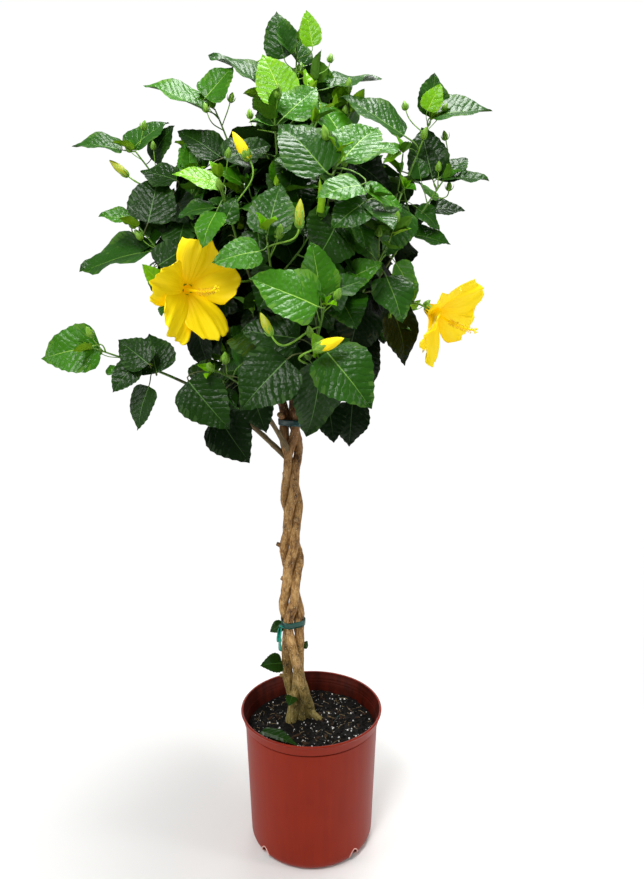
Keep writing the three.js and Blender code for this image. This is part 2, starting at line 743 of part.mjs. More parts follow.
for (const entry of limbs) {
  const whole = solid(limb(entry.bough, entry.boughRadii, BOUGH_SIDES));
  const cut = cutters.reduce((left, other) => left.subtract(other), whole);
  addPiece(`bough_${entry.name}`, biggest(cut), bark);
  cutters.push(swollen(entry.bough, entry.boughRadii, BOUGH_SIDES));
}

// Spots along every limb with their radius, for keeping leaves off them
function spotsAlong(points, radii, spacing) {
  const spots = [];
  for (let i = 0; i < points.length - 1; i += 1) {
    const count = Math.ceil(points[i].distanceTo(points[i + 1]) / spacing);
    for (let j = 0; j < count; j += 1) {
      spots.push({
        at: points[i].clone().lerp(points[i + 1], j / count),
        radius: mix(radii[i], radii[i + 1], j / count),
      });
    }
  }
  spots.push({ at: points.at(-1).clone(), radius: radii.at(-1) });
  return spots;
}

const woodSpots = STRANDS.flatMap((strand) => {
  const line = strandLine(strand, WOOD_START, strand.top, WOOD_STEP);
  return spotsAlong(line, line.map((point) => strandThickness(strand, point.z)), SPOT_SPACING);
});
const stemSpots = [];
for (const entry of limbs) {
  entry.spots = spotsAlong(entry.bough, entry.boughRadii, SPOT_SPACING);
  woodSpots.push(...entry.spots);
  stemSpots.push(...spotsAlong(entry.stem, entry.stemRadii, SPOT_SPACING)
    .map((spot) => ({ ...spot, name: entry.name })));
}

// The place a share of the way along a line of points, and the line's heading there
function alongLine(points, share) {
  const steps = points.slice(1).map((point, i) => point.distanceTo(points[i]));
  let left = share * steps.reduce((sum, step) => sum + step, 0);
  const piece = steps.findIndex((step, i) => {
    if (left <= step || i === steps.length - 1) return true;
    left -= step;
    return false;
  });
  const along = points[piece + 1].clone().sub(points[piece]).normalize();
  return { at: points[piece].clone().addScaledVector(along, left), along };
}

// ---------------------------------------------------------------- flowers and buds

const keepOuts = [];
const stalkSpots = [];

function stalkBody(spec, end, arrive) {
  const host = limbs.find((entry) => entry.name === spec.host);
  const start = alongLine(host.stem, spec.share).at;
  const leave = end.clone().sub(start).normalize();
  const path = run(start, leave, end, arrive);
  const points = pathPoints(path, 0, 1, STALK_STEPS);
  const radii = points.map(() => STALK_RADIUS);
  stalkSpots.push(...spotsAlong(points, radii, SPOT_SPACING).filter(({ at }) => (
    at.distanceTo(start) > STALK_START)));
  const shoot = swollen(host.stem, host.stemRadii, TWIG_SIDES);
  return biggest(solid(limb(points, radii, STALK_SIDES)).subtract(shoot));
}

function turned(geometry, base, axis) {
  const stand = new THREE.Quaternion().setFromUnitVectors(UP, axis);
  return geometry.applyQuaternion(stand).translate(base.x, base.y, base.z);
}

function cup(profile, sides) {
  const points = profile.map(([radius, height]) => new THREE.Vector2(radius, height));
  return new THREE.LatheGeometry(points, sides).rotateX(Math.PI / 2);
}

function flowerBody(spec) {
  const throat = fromFork(spec.bearing, spec.out, spec.up);
  const axis = heading(spec.facing, spec.tilt);
  const base = throat.clone().addScaledVector(axis, -THROAT_LENGTH);
  const side = UP.clone().cross(axis).normalize();
  const petals = Array.from({ length: PETAL_COUNT }, (_, i) => {
    const out = side.clone()
      .applyAxisAngle(axis, radians(spec.roll + (360 / PETAL_COUNT) * i));
    const open = radians(PETAL_OPEN);
    const along = axis.clone().multiplyScalar(Math.cos(open)).addScaledVector(out, Math.sin(open));
    const face = axis.clone().multiplyScalar(Math.sin(open)).addScaledVector(out, -Math.cos(open));
    const root = throat.clone().addScaledVector(axis, -PETAL_SINK).addScaledVector(out, 1);
    const place = {
      root,
      along,
      face,
      length: PETAL_LENGTH,
    };
    return solid(blade(place, PETAL_OUTLINE, PETAL_FORM).geometry);
  });
  const funnel = solid(turned(cup(THROAT_PROFILE, THROAT_SIDES), base, axis));
  const column = solid(limb(
    [throat.clone(), throat.clone().addScaledVector(axis, COLUMN_LENGTH)],
    [COLUMN_RADIUS, COLUMN_RADIUS * COLUMN_SWELL],
    COLUMN_SIDES,
  ));
  const middle = throat.clone().addScaledVector(axis, FLOWER_MIDDLE);
  keepOuts.push({ at: middle, radius: FLOWER_KEEP_OUT });
  return joined([stalkBody(spec, base, axis), funnel, column, ...petals]);
}

function budBody(spec) {
  const middle = fromFork(spec.bearing, spec.out, spec.up);
  const axis = heading(spec.facing, spec.tilt);
  const base = middle.clone().addScaledVector(axis, -BUD_LENGTH / 2);
  const profile = BUD_PROFILE.map(([out, up]) => [BUD_RADIUS * out, BUD_LENGTH * up]);
  const shape = solid(turned(cup([[0, 0], ...profile], BUD_SIDES), base, axis));
  keepOuts.push({ at: middle, radius: BUD_LENGTH / 2 + BUD_ROOM });
  return joined([stalkBody(spec, base, axis), shape]);
}

for (const spec of FLOWERS) {
  addPiece(spec.name, biggest(flowerBody(spec)), petalYellow);
}
for (const spec of BUDS) {
  addPiece(spec.name, biggest(budBody(spec)), petalYellow);
}

// ---------------------------------------------------------------- masses of leaves

const spines = limbs.map((entry) => {
  const points = pathPoints(entry.path, SPINE_START, 1, SPINE_STEPS);
  const end = entry.path.getTangent(1).normalize();
  points.push(points.at(-1).clone().addScaledVector(end, SPINE_OVERHANG));
  return { name: entry.name, points };
});

const spineStep = new THREE.Line3();
const nearest = new THREE.Vector3();

function spineDistance(spine, point) {
  let best = Infinity;
  for (let i = 0; i < spine.points.length - 1; i += 1) {
    spineStep.set(spine.points[i], spine.points[i + 1])
      .closestPointToPoint(point, true, nearest);
    best = Math.min(best, nearest.distanceTo(point));
  }
  return best;
}

// A mass owns the space that lies nearer to its own shoot than to any other.
function ownsPoint(name, point, overrun) {
  const own = spineDistance(spines.find((spine) => spine.name === name), point);
  return spines.every((spine) => (
    spine.name === name || spineDistance(spine, point) > own - 2 * overrun));
}

function outlineWidth(forward) {
  for (let i = 1; i < LEAF_OUTLINE.length; i += 1) {
    const [from, to] = [LEAF_OUTLINE[i - 1], LEAF_OUTLINE[i]];
    if (forward <= to[0]) return mix(from[1], to[1], (forward - from[0]) / (to[0] - from[0]));
  }
  return 0;
}

const offset = new THREE.Vector3();

// Whether a spot lies in a leaf: over its outline and within the clearance of its face
function leafHolds(place, spot, radius, clearance) {
  offset.copy(spot).sub(place.root);
  const room = radius + EDGE_ROOM;
  if (offset.length() > place.length + room) return false;
  const forward = offset.dot(place.along) / place.length;
  if (forward < -room / place.length) return false;
  const lift = offset.dot(place.face);
  const side = Math.sqrt(Math.max(0, offset.lengthSq() - lift * lift
    - (forward * place.length) ** 2));
  const width = outlineWidth(Math.min(1, Math.max(0, forward))) * place.length;
  const curved = (LEAF_CUP * side) - LEAF_DROOP * forward * forward * place.length;
  return Math.abs(lift - curved) < room + clearance && side < width + room;
}

const grown = []; // every leaf placed so far, with spots round its edge

function edgeSpots(leaf) {
  const ring = [...leaf.edge.slice(0, -1), leaf.edge[0]];
  const round = spotsAlong(ring, ring.map(() => 0), EDGE_SPACING);
  return [...round.map(({ at }) => at), leaf.edge.at(-1)];
}

function crosses(place, spots, other) {
  if (place.root.distanceTo(other.place.root) > place.length + other.place.length) return false;
  const inside = (leafAt, spot) => leafHolds(leafAt, spot, 0, LEAF_CLEARANCE);
  return spots.some((spot) => inside(other.place, spot))
    || other.spots.some((spot) => inside(place, spot));
}

function leafFits(name, place, leaf) {
  if (!ownsPoint(name, leaf.edge.at(-1), 0)) return false;
  if (leaf.edge.some((point) => !ownsPoint(name, point, OVERRUN))) return false;
  if (leaf.edge.some((point) => keepOuts.some((zone) => (
    zone.at.distanceTo(point) < zone.radius)))) return false;
  const own = limbs.find((entry) => entry.name === name);
  const near = ({ at, radius }) => leafHolds(place, at, radius, LIMB_CLEARANCE);
  if (woodSpots.some((spot) => !own.spots.includes(spot) && near(spot))) return false;
  if (stemSpots.some((spot) => spot.name !== name && near(spot))) return false;
  if (stalkSpots.some(near)) return false;
  const spots = edgeSpots(leaf);
  if (grown.some((other) => crosses(place, spots, other))) return false;
  grown.push({ name, place, spots });
  return true;
}

function twigFits(entry, spots) {
  const apart = (spot, other) => (
    spot.at.distanceTo(other.at) > spot.radius + other.radius + TWIG_CLEARANCE);
  return spots.every((spot) => ownsPoint(entry.name, spot.at, OVERRUN / 2)
    && woodSpots.every((other) => entry.spots.includes(other) || apart(spot, other))
    && stalkSpots.every((other) => apart(spot, other))
    && stemSpots.every((other) => other.name === entry.name || apart(spot, other))
    && keepOuts.every((zone) => zone.at.distanceTo(spot.at) > zone.radius)
    && grown.every(({ name, place }) => (
      name === entry.name || !leafHolds(place, spot.at, spot.radius, LEAF_CLEARANCE))));
}

const head = fork.clone().add(new THREE.Vector3(0, 0, HEAD_RISE));

// A leaf leaves the shoot at its node.  Its stalk follows the spread for its age, and
// its face turns part of the way from the shoot's tip to the light outside the head.
function leafPlace(node, age, turn, scale) {
  const spread = radians(LEAF_SPREADS[Math.min(age, LEAF_SPREADS.length - 1)]);
  const out = node.side.clone().applyAxisAngle(node.along, turn);
  const along = node.along.clone().multiplyScalar(Math.cos(spread))
    .addScaledVector(out, Math.sin(spread));
  along.z -= STALK_SAG * Math.min(age, STALK_SAG_AGES);
  along.normalize();
  const light = node.at.clone().sub(head).normalize().add(UP).normalize();
  const face = node.along.clone().multiplyScalar(Math.sin(spread))
    .addScaledVector(out, -Math.cos(spread)).addScaledVector(light, LIGHT_PULL);
  face.addScaledVector(along, -face.dot(along)).normalize();
  const size = LEAF_AGES[Math.min(age, LEAF_AGES.length - 1)] * scale;
  return {
    root: node.at.clone().addScaledVector(along, -TWIG_SINK),
    along,
    face,
    length: LEAF_LENGTH * size,
  };
}

// The places along a shoot where leaves stand, counted back from its tip
function nodesAlong(points, count, side) {
  const steps = points.slice(1).map((point, i) => point.distanceTo(points[i]));
  const length = steps.reduce((sum, step) => sum + step, 0);
  return Array.from({ length: count }, (_, i) => 1 - (LEAF_SPACING * i + TIP_LENGTH) / length)
    .filter((share) => share > BARE_SHARE)
    .map((share) => {
      const { at, along } = alongLine(points, share);
      const level = side.clone().addScaledVector(along, -side.dot(along)).normalize();
      return { at, along, side: level };
    });
}

function massBody(entry) {
  const random = seeded(entry.seed);
  const parts = [solid(limb(entry.stem, entry.stemRadii, TWIG_SIDES))];
  const start = 360 * random();
  const level = UP.clone().cross(entry.path.getTangent(1)).normalize();
  const nodes = nodesAlong(entry.stem, SHOOT_LEAVES, level);
  const grow = (node, age, turn, scale) => {
    for (const [shrink, shift] of LEAF_TRIES) {
      const place = leafPlace(node, age, radians(turn + shift), scale * shrink);
      const leaf = blade(place, LEAF_OUTLINE, LEAF_FORM);
      if (leafFits(entry.name, place, leaf)) {
        parts.push(solid(leaf.geometry));
        return true;
      }
    }
    return false;
  };
  nodes.forEach((node, age) => {
    const turn = start + LEAF_TURN * age + LEAF_TURN_RANGE * (random() - 0.5);
    const scale = LEAF_LEAST_SIZE + LEAF_SIZE_RANGE * random();
    const twigSeed = random();
    grow(node, age, turn, scale);
    if (TWIG_NODES.includes(age)) twig(node, turn, twigSeed);
  });

  function twig(node, turn, chance) {
    const spread = radians(TWIG_SPREAD);
    const out = node.side.clone().applyAxisAngle(node.along, radians(turn));
    const leave = node.along.clone().multiplyScalar(Math.cos(spread))
      .addScaledVector(out, Math.sin(spread));
    const length = TWIG_LENGTH * (TWIG_LEAST_LENGTH + TWIG_LENGTH_RANGE * chance);
    const arrive = leave.clone().addScaledVector(UP, TWIG_RISE).normalize();
    const end = node.at.clone()
      .addScaledVector(leave, length * (1 - TWIG_BEND_SHARE))
      .addScaledVector(arrive, length * TWIG_BEND_SHARE);
    const line = [node.at, end];
    const radii = [TWIG_ROOT_RADIUS, TWIG_TIP_RADIUS];
    const spots = spotsAlong(line, radii, SPOT_SPACING);
    if (!twigFits(entry, spots)) return;
    const side = node.along.clone().cross(leave).normalize();
    const [before, placed] = [parts.length, grown.length];
    nodesAlong(line, TWIG_LEAVES, side).forEach((spot, age) => {
      const scale = TWIG_LEAF_LEAST_SIZE + LEAF_SIZE_RANGE * chance;
      grow(spot, age + 1, TWIG_TURN + LEAF_TURN * age, scale);
    });
    if (parts.length < before + TWIG_LEAST) {
      parts.length = before;
      grown.length = placed;
      return;
    }
    stemSpots.push(...spots.map((spot) => ({ ...spot, name: entry.name })));
    parts.push(solid(limb(line, radii, TWIG_SIDES)));
  }
  return joined(parts);
}

for (const entry of limbs) {
  const mass = massBody(entry);
  addPiece(`leaves_${entry.name}`, biggest(mass), foliage);
}

// ---------------------------------------------------------------- sprout at the foot

function sproutBody() {
  const out = heading(SPROUT_BEARING, SPROUT_CLIMB);
  const points = STRANDS.map((strand) => strandPoint(strand, SPROUT_HEIGHT));
  const start = points.reduce((best, point) => (point.dot(out) > best.dot(out) ? point : best));
  const end = start.clone().addScaledVector(out, SPROUT_LENGTH);
  const twig = solid(limb([start, end], [TWIG_ROOT_RADIUS, TWIG_TIP_RADIUS], TWIG_SIDES));
  const face = UP.clone().addScaledVector(heading(SPROUT_BEARING + 90, 0), SPROUT_FACE_TURN);
  face.addScaledVector(out, -face.dot(out)).normalize();
  const place = {
    root: end.addScaledVector(out, -SPROUT_LEAF_SINK),
    along: out,
    face,
    length: SPROUT_LEAF,
  };
  const leaf = solid(blade(place, LEAF_OUTLINE, LEAF_FORM).geometry);
  return cutters.reduce((left, other) => left.subtract(other), joined([twig, leaf]));
}

addPiece('sprout_foot', biggest(sproutBody()), foliage);

export default plant;
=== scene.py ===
# A yellow hibiscus trained as a small standard tree: three stems plaited into one trunk,
# a round head of glossy leaves, and the moulded nursery pot that it grows in.
# Metres, +Z up.  The origin is the middle of the pot's flat underside.

import math
from collections import namedtuple

import bpy
import numpy as np
from mathutils import Euler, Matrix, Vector


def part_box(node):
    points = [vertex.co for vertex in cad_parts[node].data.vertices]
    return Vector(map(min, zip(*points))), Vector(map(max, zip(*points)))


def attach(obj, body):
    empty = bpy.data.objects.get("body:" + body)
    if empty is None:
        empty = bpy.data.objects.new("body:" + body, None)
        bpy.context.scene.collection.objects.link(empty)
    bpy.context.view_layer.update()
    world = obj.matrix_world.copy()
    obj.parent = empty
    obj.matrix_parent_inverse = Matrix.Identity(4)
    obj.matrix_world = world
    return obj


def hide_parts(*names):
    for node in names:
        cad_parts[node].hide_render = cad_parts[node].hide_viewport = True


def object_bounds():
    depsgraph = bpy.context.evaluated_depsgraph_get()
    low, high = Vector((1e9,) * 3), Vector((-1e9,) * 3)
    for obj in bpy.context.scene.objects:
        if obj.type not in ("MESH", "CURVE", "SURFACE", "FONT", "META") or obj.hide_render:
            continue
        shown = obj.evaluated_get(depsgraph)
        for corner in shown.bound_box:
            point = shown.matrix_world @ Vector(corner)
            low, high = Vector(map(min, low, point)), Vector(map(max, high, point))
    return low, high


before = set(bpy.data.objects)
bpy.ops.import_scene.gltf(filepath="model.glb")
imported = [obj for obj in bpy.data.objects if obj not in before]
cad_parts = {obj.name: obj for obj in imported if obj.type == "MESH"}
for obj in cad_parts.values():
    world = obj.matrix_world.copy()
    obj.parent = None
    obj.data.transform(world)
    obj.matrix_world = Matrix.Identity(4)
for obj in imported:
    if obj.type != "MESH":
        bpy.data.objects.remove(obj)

cad_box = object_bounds()

# ------------------------------------------------------------------ sizes

MM = 0.001
GAP = 0.3 * MM

# Pot
POT_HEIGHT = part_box("pot")[1].z
POT_RIM_RADIUS = 128 * MM
POT_FOOT_RADIUS = 112 * MM
POT_WALL = 2.6 * MM
POT_CORNER = 19 * MM
POT_SIDES = 180
LIP_HEIGHT = 20 * MM
LIP_FOOT_RADIUS = 122.5 * MM
LIP_STEP = 2.6 * MM
DRAIN_COUNT = 4
DRAIN_FIRST_BEARING = 43
DRAIN_WIDTH = 19 * MM
DRAIN_HEIGHT = 23 * MM
DRAIN_EDGE = 1.1 * MM
EDGE_LOWEST = 0.4 * MM  # the torn edge stops just above the floor
SHARP_ANGLE = 40
LIP_GROOVE = 1.4 * MM
SOIL_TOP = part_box("potting_mix")[1].z

# Trunk
GROUND = SOIL_TOP + GAP
FORK_HEIGHT = 815 * MM
TRUNK_FOOT = (-37 * MM, 12 * MM)
TRUNK_FORK = (-33 * MM, 8 * MM)
PLAIT_PITCH = 302 * MM
PLAIT_WAIST = 658 * MM
PLAIT_END = 775 * MM
PLAIT_WIDTH = 1.5
PLAIT_PINCH = 0.4
PLAIT_DEPTH = 1.27
FORK_START = 690 * MM
FORK_REACH = 85 * MM
FORK_WIDTH = 1.88
FREE_TOP = 407 * MM
SPLAY_START = 788 * MM
SPLAY = 22
STRAND_RADIUS_FOOT = 10.5 * MM
STRAND_RADIUS_FORK = 6.7 * MM
FLARE_REACH = 26 * MM
FLARE_SWELL = 0.09
# The living stems stand apart at the foot, and press together higher up
BARK_SWELL_FOOT = 0.97
BARK_SWELL_FORK = 1.19
STRANDS = [
    {"name": "back", "phase": 0, "thickness": 0.97, "top": 858 * MM, "toes": [],
     "feet": [(-22, 16), (-27, 9), (-38, 8)]},
    {"name": "left", "phase": 120, "thickness": 1.0, "top": 834 * MM, "toes": [],
     "feet": [(-45, 16), (-42, 27), (-20, 20)]},
    {"name": "front", "phase": 240, "thickness": 0.94, "top": 846 * MM, "toes": [-30],
     "feet": [(-28, -6), (-13, -2), (-1, 25)]},
]
TOE_HEIGHT = 36 * MM
TOE_SPREAD = 18 * MM
TOE_RADIUS = 6.2 * MM
STRAND_SIDES = 44
STRAND_STEP = 2.2 * MM
TOE_SIDES = 22
TOE_STEPS = 26
STUB_SIDES = 14

# Stubs on the trunk, where side shoots were rubbed or cut off: strand, height, bearing,
# how far the stub stands out, and its radius, in millimetres
STRAND_NAMED = {strand["name"]: strand for strand in STRANDS}
STUBS = [
    ("left", 291, -165, 7, 3.2), ("left", 598, -92, 3, 5.0), ("back", 548, 178, 7, 3.4),
    ("left", 488, 172, 4, 3.6), ("front", 392, -92, 3, 4.0), ("front", 330, -80, 2, 4.4),
    ("left", 778, -110, 17, 4.6), ("back", 668, -70, 4, 3.0), ("front", 520, -60, 3, 3.8),
    ("front", 508, -75, 4, 3.0), ("front", 640, 85, 5, 3.6), ("left", 440, 120, 5, 3.4),
]

# Ties
TAPE_WIDTH = 10 * MM
TAPE_THICKNESS = 0.9 * MM
TIE_LOWER_HEIGHT = 407 * MM
TIE_UPPER_HEIGHT = 772 * MM
KNOT_BEARING = -150
BAND_SIDES = 72
TAIL_STEPS = 18
TAIL_LENGTHS = (46 * MM, 30 * MM)

# Limbs, shoots and twigs
BOUGH_SHARE = 0.46
BOUGH_ROOT_RADIUS = 5.2 * MM
BOUGH_TIP_RADIUS = 3.0 * MM
STEM_TIP_RADIUS = 1.2 * MM
TWIG_ROOT_RADIUS = 1.7 * MM
TWIG_TIP_RADIUS = 1.0 * MM
LIMB_ROOTS = (794 * MM, 856 * MM)
LIMB_START = 46
LIMB_BEND = 0.42
LEAF_TURN = 144
LEAF_SPACING = 20 * MM
TWIG_SPACING = 15 * MM
SHOOT_START = 0.28  # share of a limb's run where its first leaves stand
TWIG_LENGTH = 88 * MM
TWIG_SPREAD = 52
TWIG_NODES = (2, 4, 5, 7, 8, 10, 11, 13)  # nodes of a shoot that bear a twig, from its tip
FINE_TWIG_NODES = (2, 4)
SPINE_START = 0.3  # share of a limb's run from which its mass has its own space
SPINE_OVERHANG = 60 * MM
OVERRUN = 40 * MM

# Leaves: stalk and blade together are LEAF_LENGTH long on a full-grown leaf
LEAF_LENGTH = 122 * MM
STALK_SHARE = 0.24
LEAF_AGES = [0.5, 0.74, 0.92, 1.0]
LEAF_SPREADS = [24, 40, 54, 64, 72]
LEAF_HANGS = [0.0, 0.12, 0.3, 0.5, 0.62]
LEAF_FORMS = [
    {"fold": 0.42, "bend": 0.25, "breadth": 0.74, "quilt": 0.9},
    {"fold": 0.3, "bend": 0.45, "breadth": 0.88, "quilt": 1.1},
    {"fold": 0.2, "bend": 0.6, "breadth": 1.0, "quilt": 1.0},
    {"fold": 0.16, "bend": 0.7, "breadth": 1.0, "quilt": 0.9},
]
LEAF_TRIES = [
    (1, 0), (1, 35), (1, -35), (1, 70), (1, -70), (0.8, 0), (0.8, 50), (0.8, -50),
    (0.65, 20), (0.65, -110),
]
LEAF_CLEARANCE = 1.6 * MM
LIMB_CLEARANCE = 4.5 * MM
WOOD_START = 640 * MM  # no leaf of the rule comes near a strand below this height

CAMERA_PLACE = np.array([0.0194, -1.167, 0.939])
CAMERA_PITCH = 9.5
CAMERA_LENS = 28.26

# Every limb of the head: the bearing of its tip (0 is +X, -90 is the front), how far out
# and how high above the fork the tip is, how steeply it climbs there, its seed, and the
# height it leaves its strand at, if that isn't dealt out
Limb = namedtuple("Limb", "name bearing out up climb seed root", defaults=[None])
LIMBS = [Limb(*row) for row in (
    ("top", -31, 16, 556, 86, 11),
    ("top_front", -97, 129, 425, 76, 12),
    ("top_left", -166, 118, 454, 66, 13),
    ("top_right", -16, 100, 448, 62, 14),
    ("left_upper", -171, 242, 390, 52, 15),
    ("left_middle", -159, 241, 268, 50, 16),
    ("left_low", -155, 318, 88, 20, 17, 704),
    ("left_foot", -120, 204, 58, 18, 18, 722),
    ("front_left", -112, 224, 314, 62, 19),
    ("front_upper", -71, 219, 345, 58, 20),
    ("front_middle", -94, 268, 240, 50, 21),
    ("front_right", -53, 244, 242, 52, 22),
    ("front_low", -79, 292, 146, 42, 23),
    ("front_foot", -79, 262, 78, 24, 24),
    ("right_upper", -10, 223, 434, 70, 25),
    ("right_middle", -11, 246, 345, 56, 26),
    ("right_low", -36, 186, 120, 30, 27),
    ("back_top", 88, 150, 470, 70, 28),
    ("back_left", 128, 226, 356, 56, 29),
    ("back_right", 42, 232, 366, 56, 30),
    ("back_middle", 92, 276, 250, 44, 31),
    ("back_left_low", 146, 250, 140, 34, 32),
    ("back_right_low", 28, 240, 150, 34, 33),
    ("back_low", 80, 232, 84, 24, 34),
)]
LIMB_NAMES = [limb.name for limb in LIMBS]

# Flowers: host shoot, share along it, bearing, out and up of the throat, facing, tilt, roll
FLOWERS = {
    "flower_left": ("front_left", 0.3, -124, 234, 171, -50, -8, 18),
    "flower_right": ("right_low", 0.33, -26, 255, 138, -40, -27, -14),
}
# Buds near opening: host, share, bearing, out, up, facing, tilt, length, radius
BUDS = {
    "bud_upper": ("front_left", 0.8, -110, 176, 368, 170, 58, 44, 7.5),
    "bud_front": ("front_foot", 0.74, -79, 322, 100, 10, 20, 40, 7.5),
    "bud_left": ("left_upper", 0.72, -168, 268, 362, 175, 40, 36, 6.0),
    "bud_middle": ("front_middle", 0.9, -85, 282, 261, 60, 84, 34, 6.0),
    "bud_low": ("front_low", 0.8, -93, 320, 125, 150, 60, 30, 5.5),
    "bud_tip": ("left_low", 0.55, -152, 262, 70, 172, 8, 24, 4.5),
}
RIPE_BUDS = ("bud_upper", "bud_front")
PETAL_LENGTH = 88 * MM
# How far round, and how much longer, each petal stands than in an even star
PETAL_SHIFTS = [(4, 0.94), (-4, 1.0), (6, 1.04), (-4, 1.06), (-12, 1.02)]
THROAT_LENGTH = 24 * MM
COLUMN_LENGTH = 66 * MM
FLOWER_KEEP_OUT = 70 * MM
FLOWER_STALK_RADIUS = 1.6 * MM

# Leaves that can be told apart from the front.  Each blade's foot is placed across, to the
# back and above the fork; then come its tip's bearing and climb, its upper side's, and its
# length and tone.
# The tones deep and shade here are painted shade, for leaves that stand in the head's shadow
NAMED_LEAVES = [
    # the leader, and the shoots beside it
    (-40, 0, 535, -150, 75, -110, 10, 72, "green"),
    (-15, 10, 530, 160, 70, -40, 25, 85, "green"),
    (5, -20, 545, 180, 80, -90, 5, 56, "lime"),
    (-65, -20, 480, -175, 38, -90, 68, 108, "green"),
    (-35, -80, 445, 150, 65, -95, 20, 90, "lime"),
    (-35, -120, 415, 20, 45, -60, 50, 75, "fresh"),
    (50, -100, 390, 125, 55, -50, 30, 105, "fresh"),
    (30, -20, 485, 15, 22, -90, 62, 96, "green"),
    (145, -50, 408, -175, 35, -70, 52, 114, "green"),
    # the upper front
    (25, -220, 320, 170, 50, -85, 32, 98, "green"),
    (45, -190, 340, 35, 45, -70, 50, 95, "fresh"),
    (65, -120, 360, 15, 25, -90, 56, 80, "fresh"),
    (45, -205, 335, 180, 60, -90, 20, 32, "lime"),
    (70, -240, 300, -150, -10, -90, 42, 66, "fresh"),
    (75, -240, 280, -155, -35, -75, 35, 58, "green"),
    (75, -215, 300, 10, -15, -80, 50, 58, "fresh"),
    (60, -80, 365, 0, -25, -90, 30, 80, "shade"),
    (-50, -260, 235, 60, 70, -95, 10, 78, "green"),
    # the upper left
    (-120, -140, 355, 15, 20, -90, 40, 75, "deep"),
    (-135, -60, 375, 180, 35, -90, 45, 80, "deep"),
    (-255, 0, 385, -30, 50, -90, 40, 65, "deep"),
    (-160, -50, 446, -175, 25, -90, 62, 98, "fresh"),
    (-158, -50, 462, 0, 48, -90, 30, 66, "fresh"),
    (-292, -30, 392, -160, 10, -90, 56, 76, "green"),
    (-280, -20, 395, 25, 50, -90, 56, 80, "green"),
    (-245, -80, 275, 55, 70, -90, 15, 88, "deep"),
    (-120, -170, 315, -150, 10, -90, 42, 68, "lime"),
    # round the left flower
    (-120, -220, 270, -125, -50, -110, 35, 56, "fresh"),
    (-112, -205, 258, 0, 65, -90, 15, 38, "green"),
    (-58, -270, 215, -160, -10, -90, 30, 64, "fresh"),
    (-272, -60, 282, -155, 10, -90, 50, 52, "fresh"),
    (-246, -60, 236, 180, -9, -90, 58, 122, "green"),
    (-225, -110, 210, 20, 35, -90, 35, 70, "deep"),
    # the low left reach
    (-315, -120, 94, -175, -12, -95, 12, 96, "fresh"),
    (-240, -130, 65, 160, 35, -90, 20, 68, "deep"),
    (-232, -115, 50, 120, 55, -90, 15, 78, "deep"),
    (-246, -110, 30, -160, -68, -125, 10, 74, "deep"),
    (-170, -150, 40, 20, 40, -90, 35, 56, "deep"),
    (-263, -120, 66, -150, -48, -100, 10, 56, "deep"),
    (-300, -110, 48, 130, 50, -90, 30, 22, "fresh"),
    (-205, -60, 342, 175, 20, -90, 40, 62, "deep"),
    (-172, -180, 44, -24, -47, -95, 15, 92, "deep"),
    (-82, -175, 30, -30, -70, -90, 10, 66, "shade"),
    (-136, -140, -14, -30, -50, -100, 10, 84, "shade"),
    # the low front
    (-25, -280, 80, -150, -40, -90, 20, 90, "deep"),
    (25, -285, 90, -30, -45, -85, 22, 94, "green"),
    (20, -250, 75, 145, -80, -60, 5, 110, "deep"),
    (67, -100, 5, 180, -85, -85, 15, 76, "shade"),
    (30, -130, 4, -60, -75, -95, 10, 60, "shade"),
    (15, -300, 145, -165, 25, -90, 35, 92, "fresh"),
    (35, -270, 165, 15, 25, -85, 45, 48, "green"),
    (-10, -255, 105, 180, 10, -90, 35, 80, "deep"),
    (110, -170, 190, -55, -55, -80, 20, 72, "green"),
    (123, -120, 152, 0, -68, -50, 15, 98, "shade"),
    (130, -100, 215, 0, -55, -60, 35, 70, "fresh"),
    # the right
    (190, -20, 442, 0, 84, -60, 20, 70, "green"),
    (180, -45, 445, 0, 65, -80, 30, 46, "lime"),
    (188, -30, 440, 0, 15, -85, 52, 98, "green"),
    (195, -20, 350, 180, 74, -110, 30, 88, "deep"),
    (200, -20, 350, 20, 35, -85, 50, 72, "green"),
    (205, -35, 350, 0, 4, -85, 58, 78, "green"),
    (195, 0, 308, 0, 6, -90, 50, 60, "deep"),
    (170, -30, 305, 0, -35, -85, 45, 52, "green"),
    (165, -30, 264, 0, -8, -90, 52, 64, "green"),
    (140, -50, 385, 180, -30, -90, 50, 32, "lime"),
    (175, -25, 350, 180, 80, -90, 20, 36, "green"),
]
NAMED_BEND = 0.35
VIEW_CLEARANCE = 12 * MM
BOX_ROOM = 12 * MM  # how far test spots may reach out of the solids' box

# The head's outline from the front: bearings round its middle (0 is +X, 90 is up) and how
# far the leaves of the rule reach along them; only named leaves stand out further
CROWN_MIDDLE = (-40 * MM, 245 * MM)
CROWN_OUTLINE = [
    (-180, 245), (-165, 220), (-150, 228), (-142, 250), (-134, 235), (-122, 228), (-113, 320),
    (-102, 355), (-96, 250), (-84, 245), (-79, 315), (-68, 305), (-58, 275), (-45, 222),
    (-30, 212), (-12, 205), (4, 215), (15, 262), (28, 262), (38, 235), (52, 240), (60, 265),
    (70, 290), (78, 325), (88, 345), (94, 320), (99, 245), (104, 188), (118, 186), (126, 215),
    (133, 275), (140, 285), (152, 285), (162, 265), (172, 245), (180, 245),
]
CROWN_DEPTH = 400 * MM

# Shoots from the foot of the trunk: strand, height, bearing, climb, length, leaf sizes
SPROUTS = [
    ("left", 324, -165, 10, 1, (46,)),
    ("back", 352, -25, 60, 2, (15, 9)),
    ("back", 268, -130, -10, 2, (24,)),
    ("left", 400, -175, -20, 1, (28,)),
]

# Young buds that stand out round the head: across, back and up above the fork
YOUNG_BUDS = [
    (-120, -50, 456), (32, 0, 530), (149, -30, 451), (214, -20, 409), (221, -20, 333),
    (-261, -20, 424), (-272, -70, 269), (-87, -80, 425), (-154, -60, 439),
]

# ------------------------------------------------------------------ small maths

UP = np.array([0.0, 0.0, 1.0])


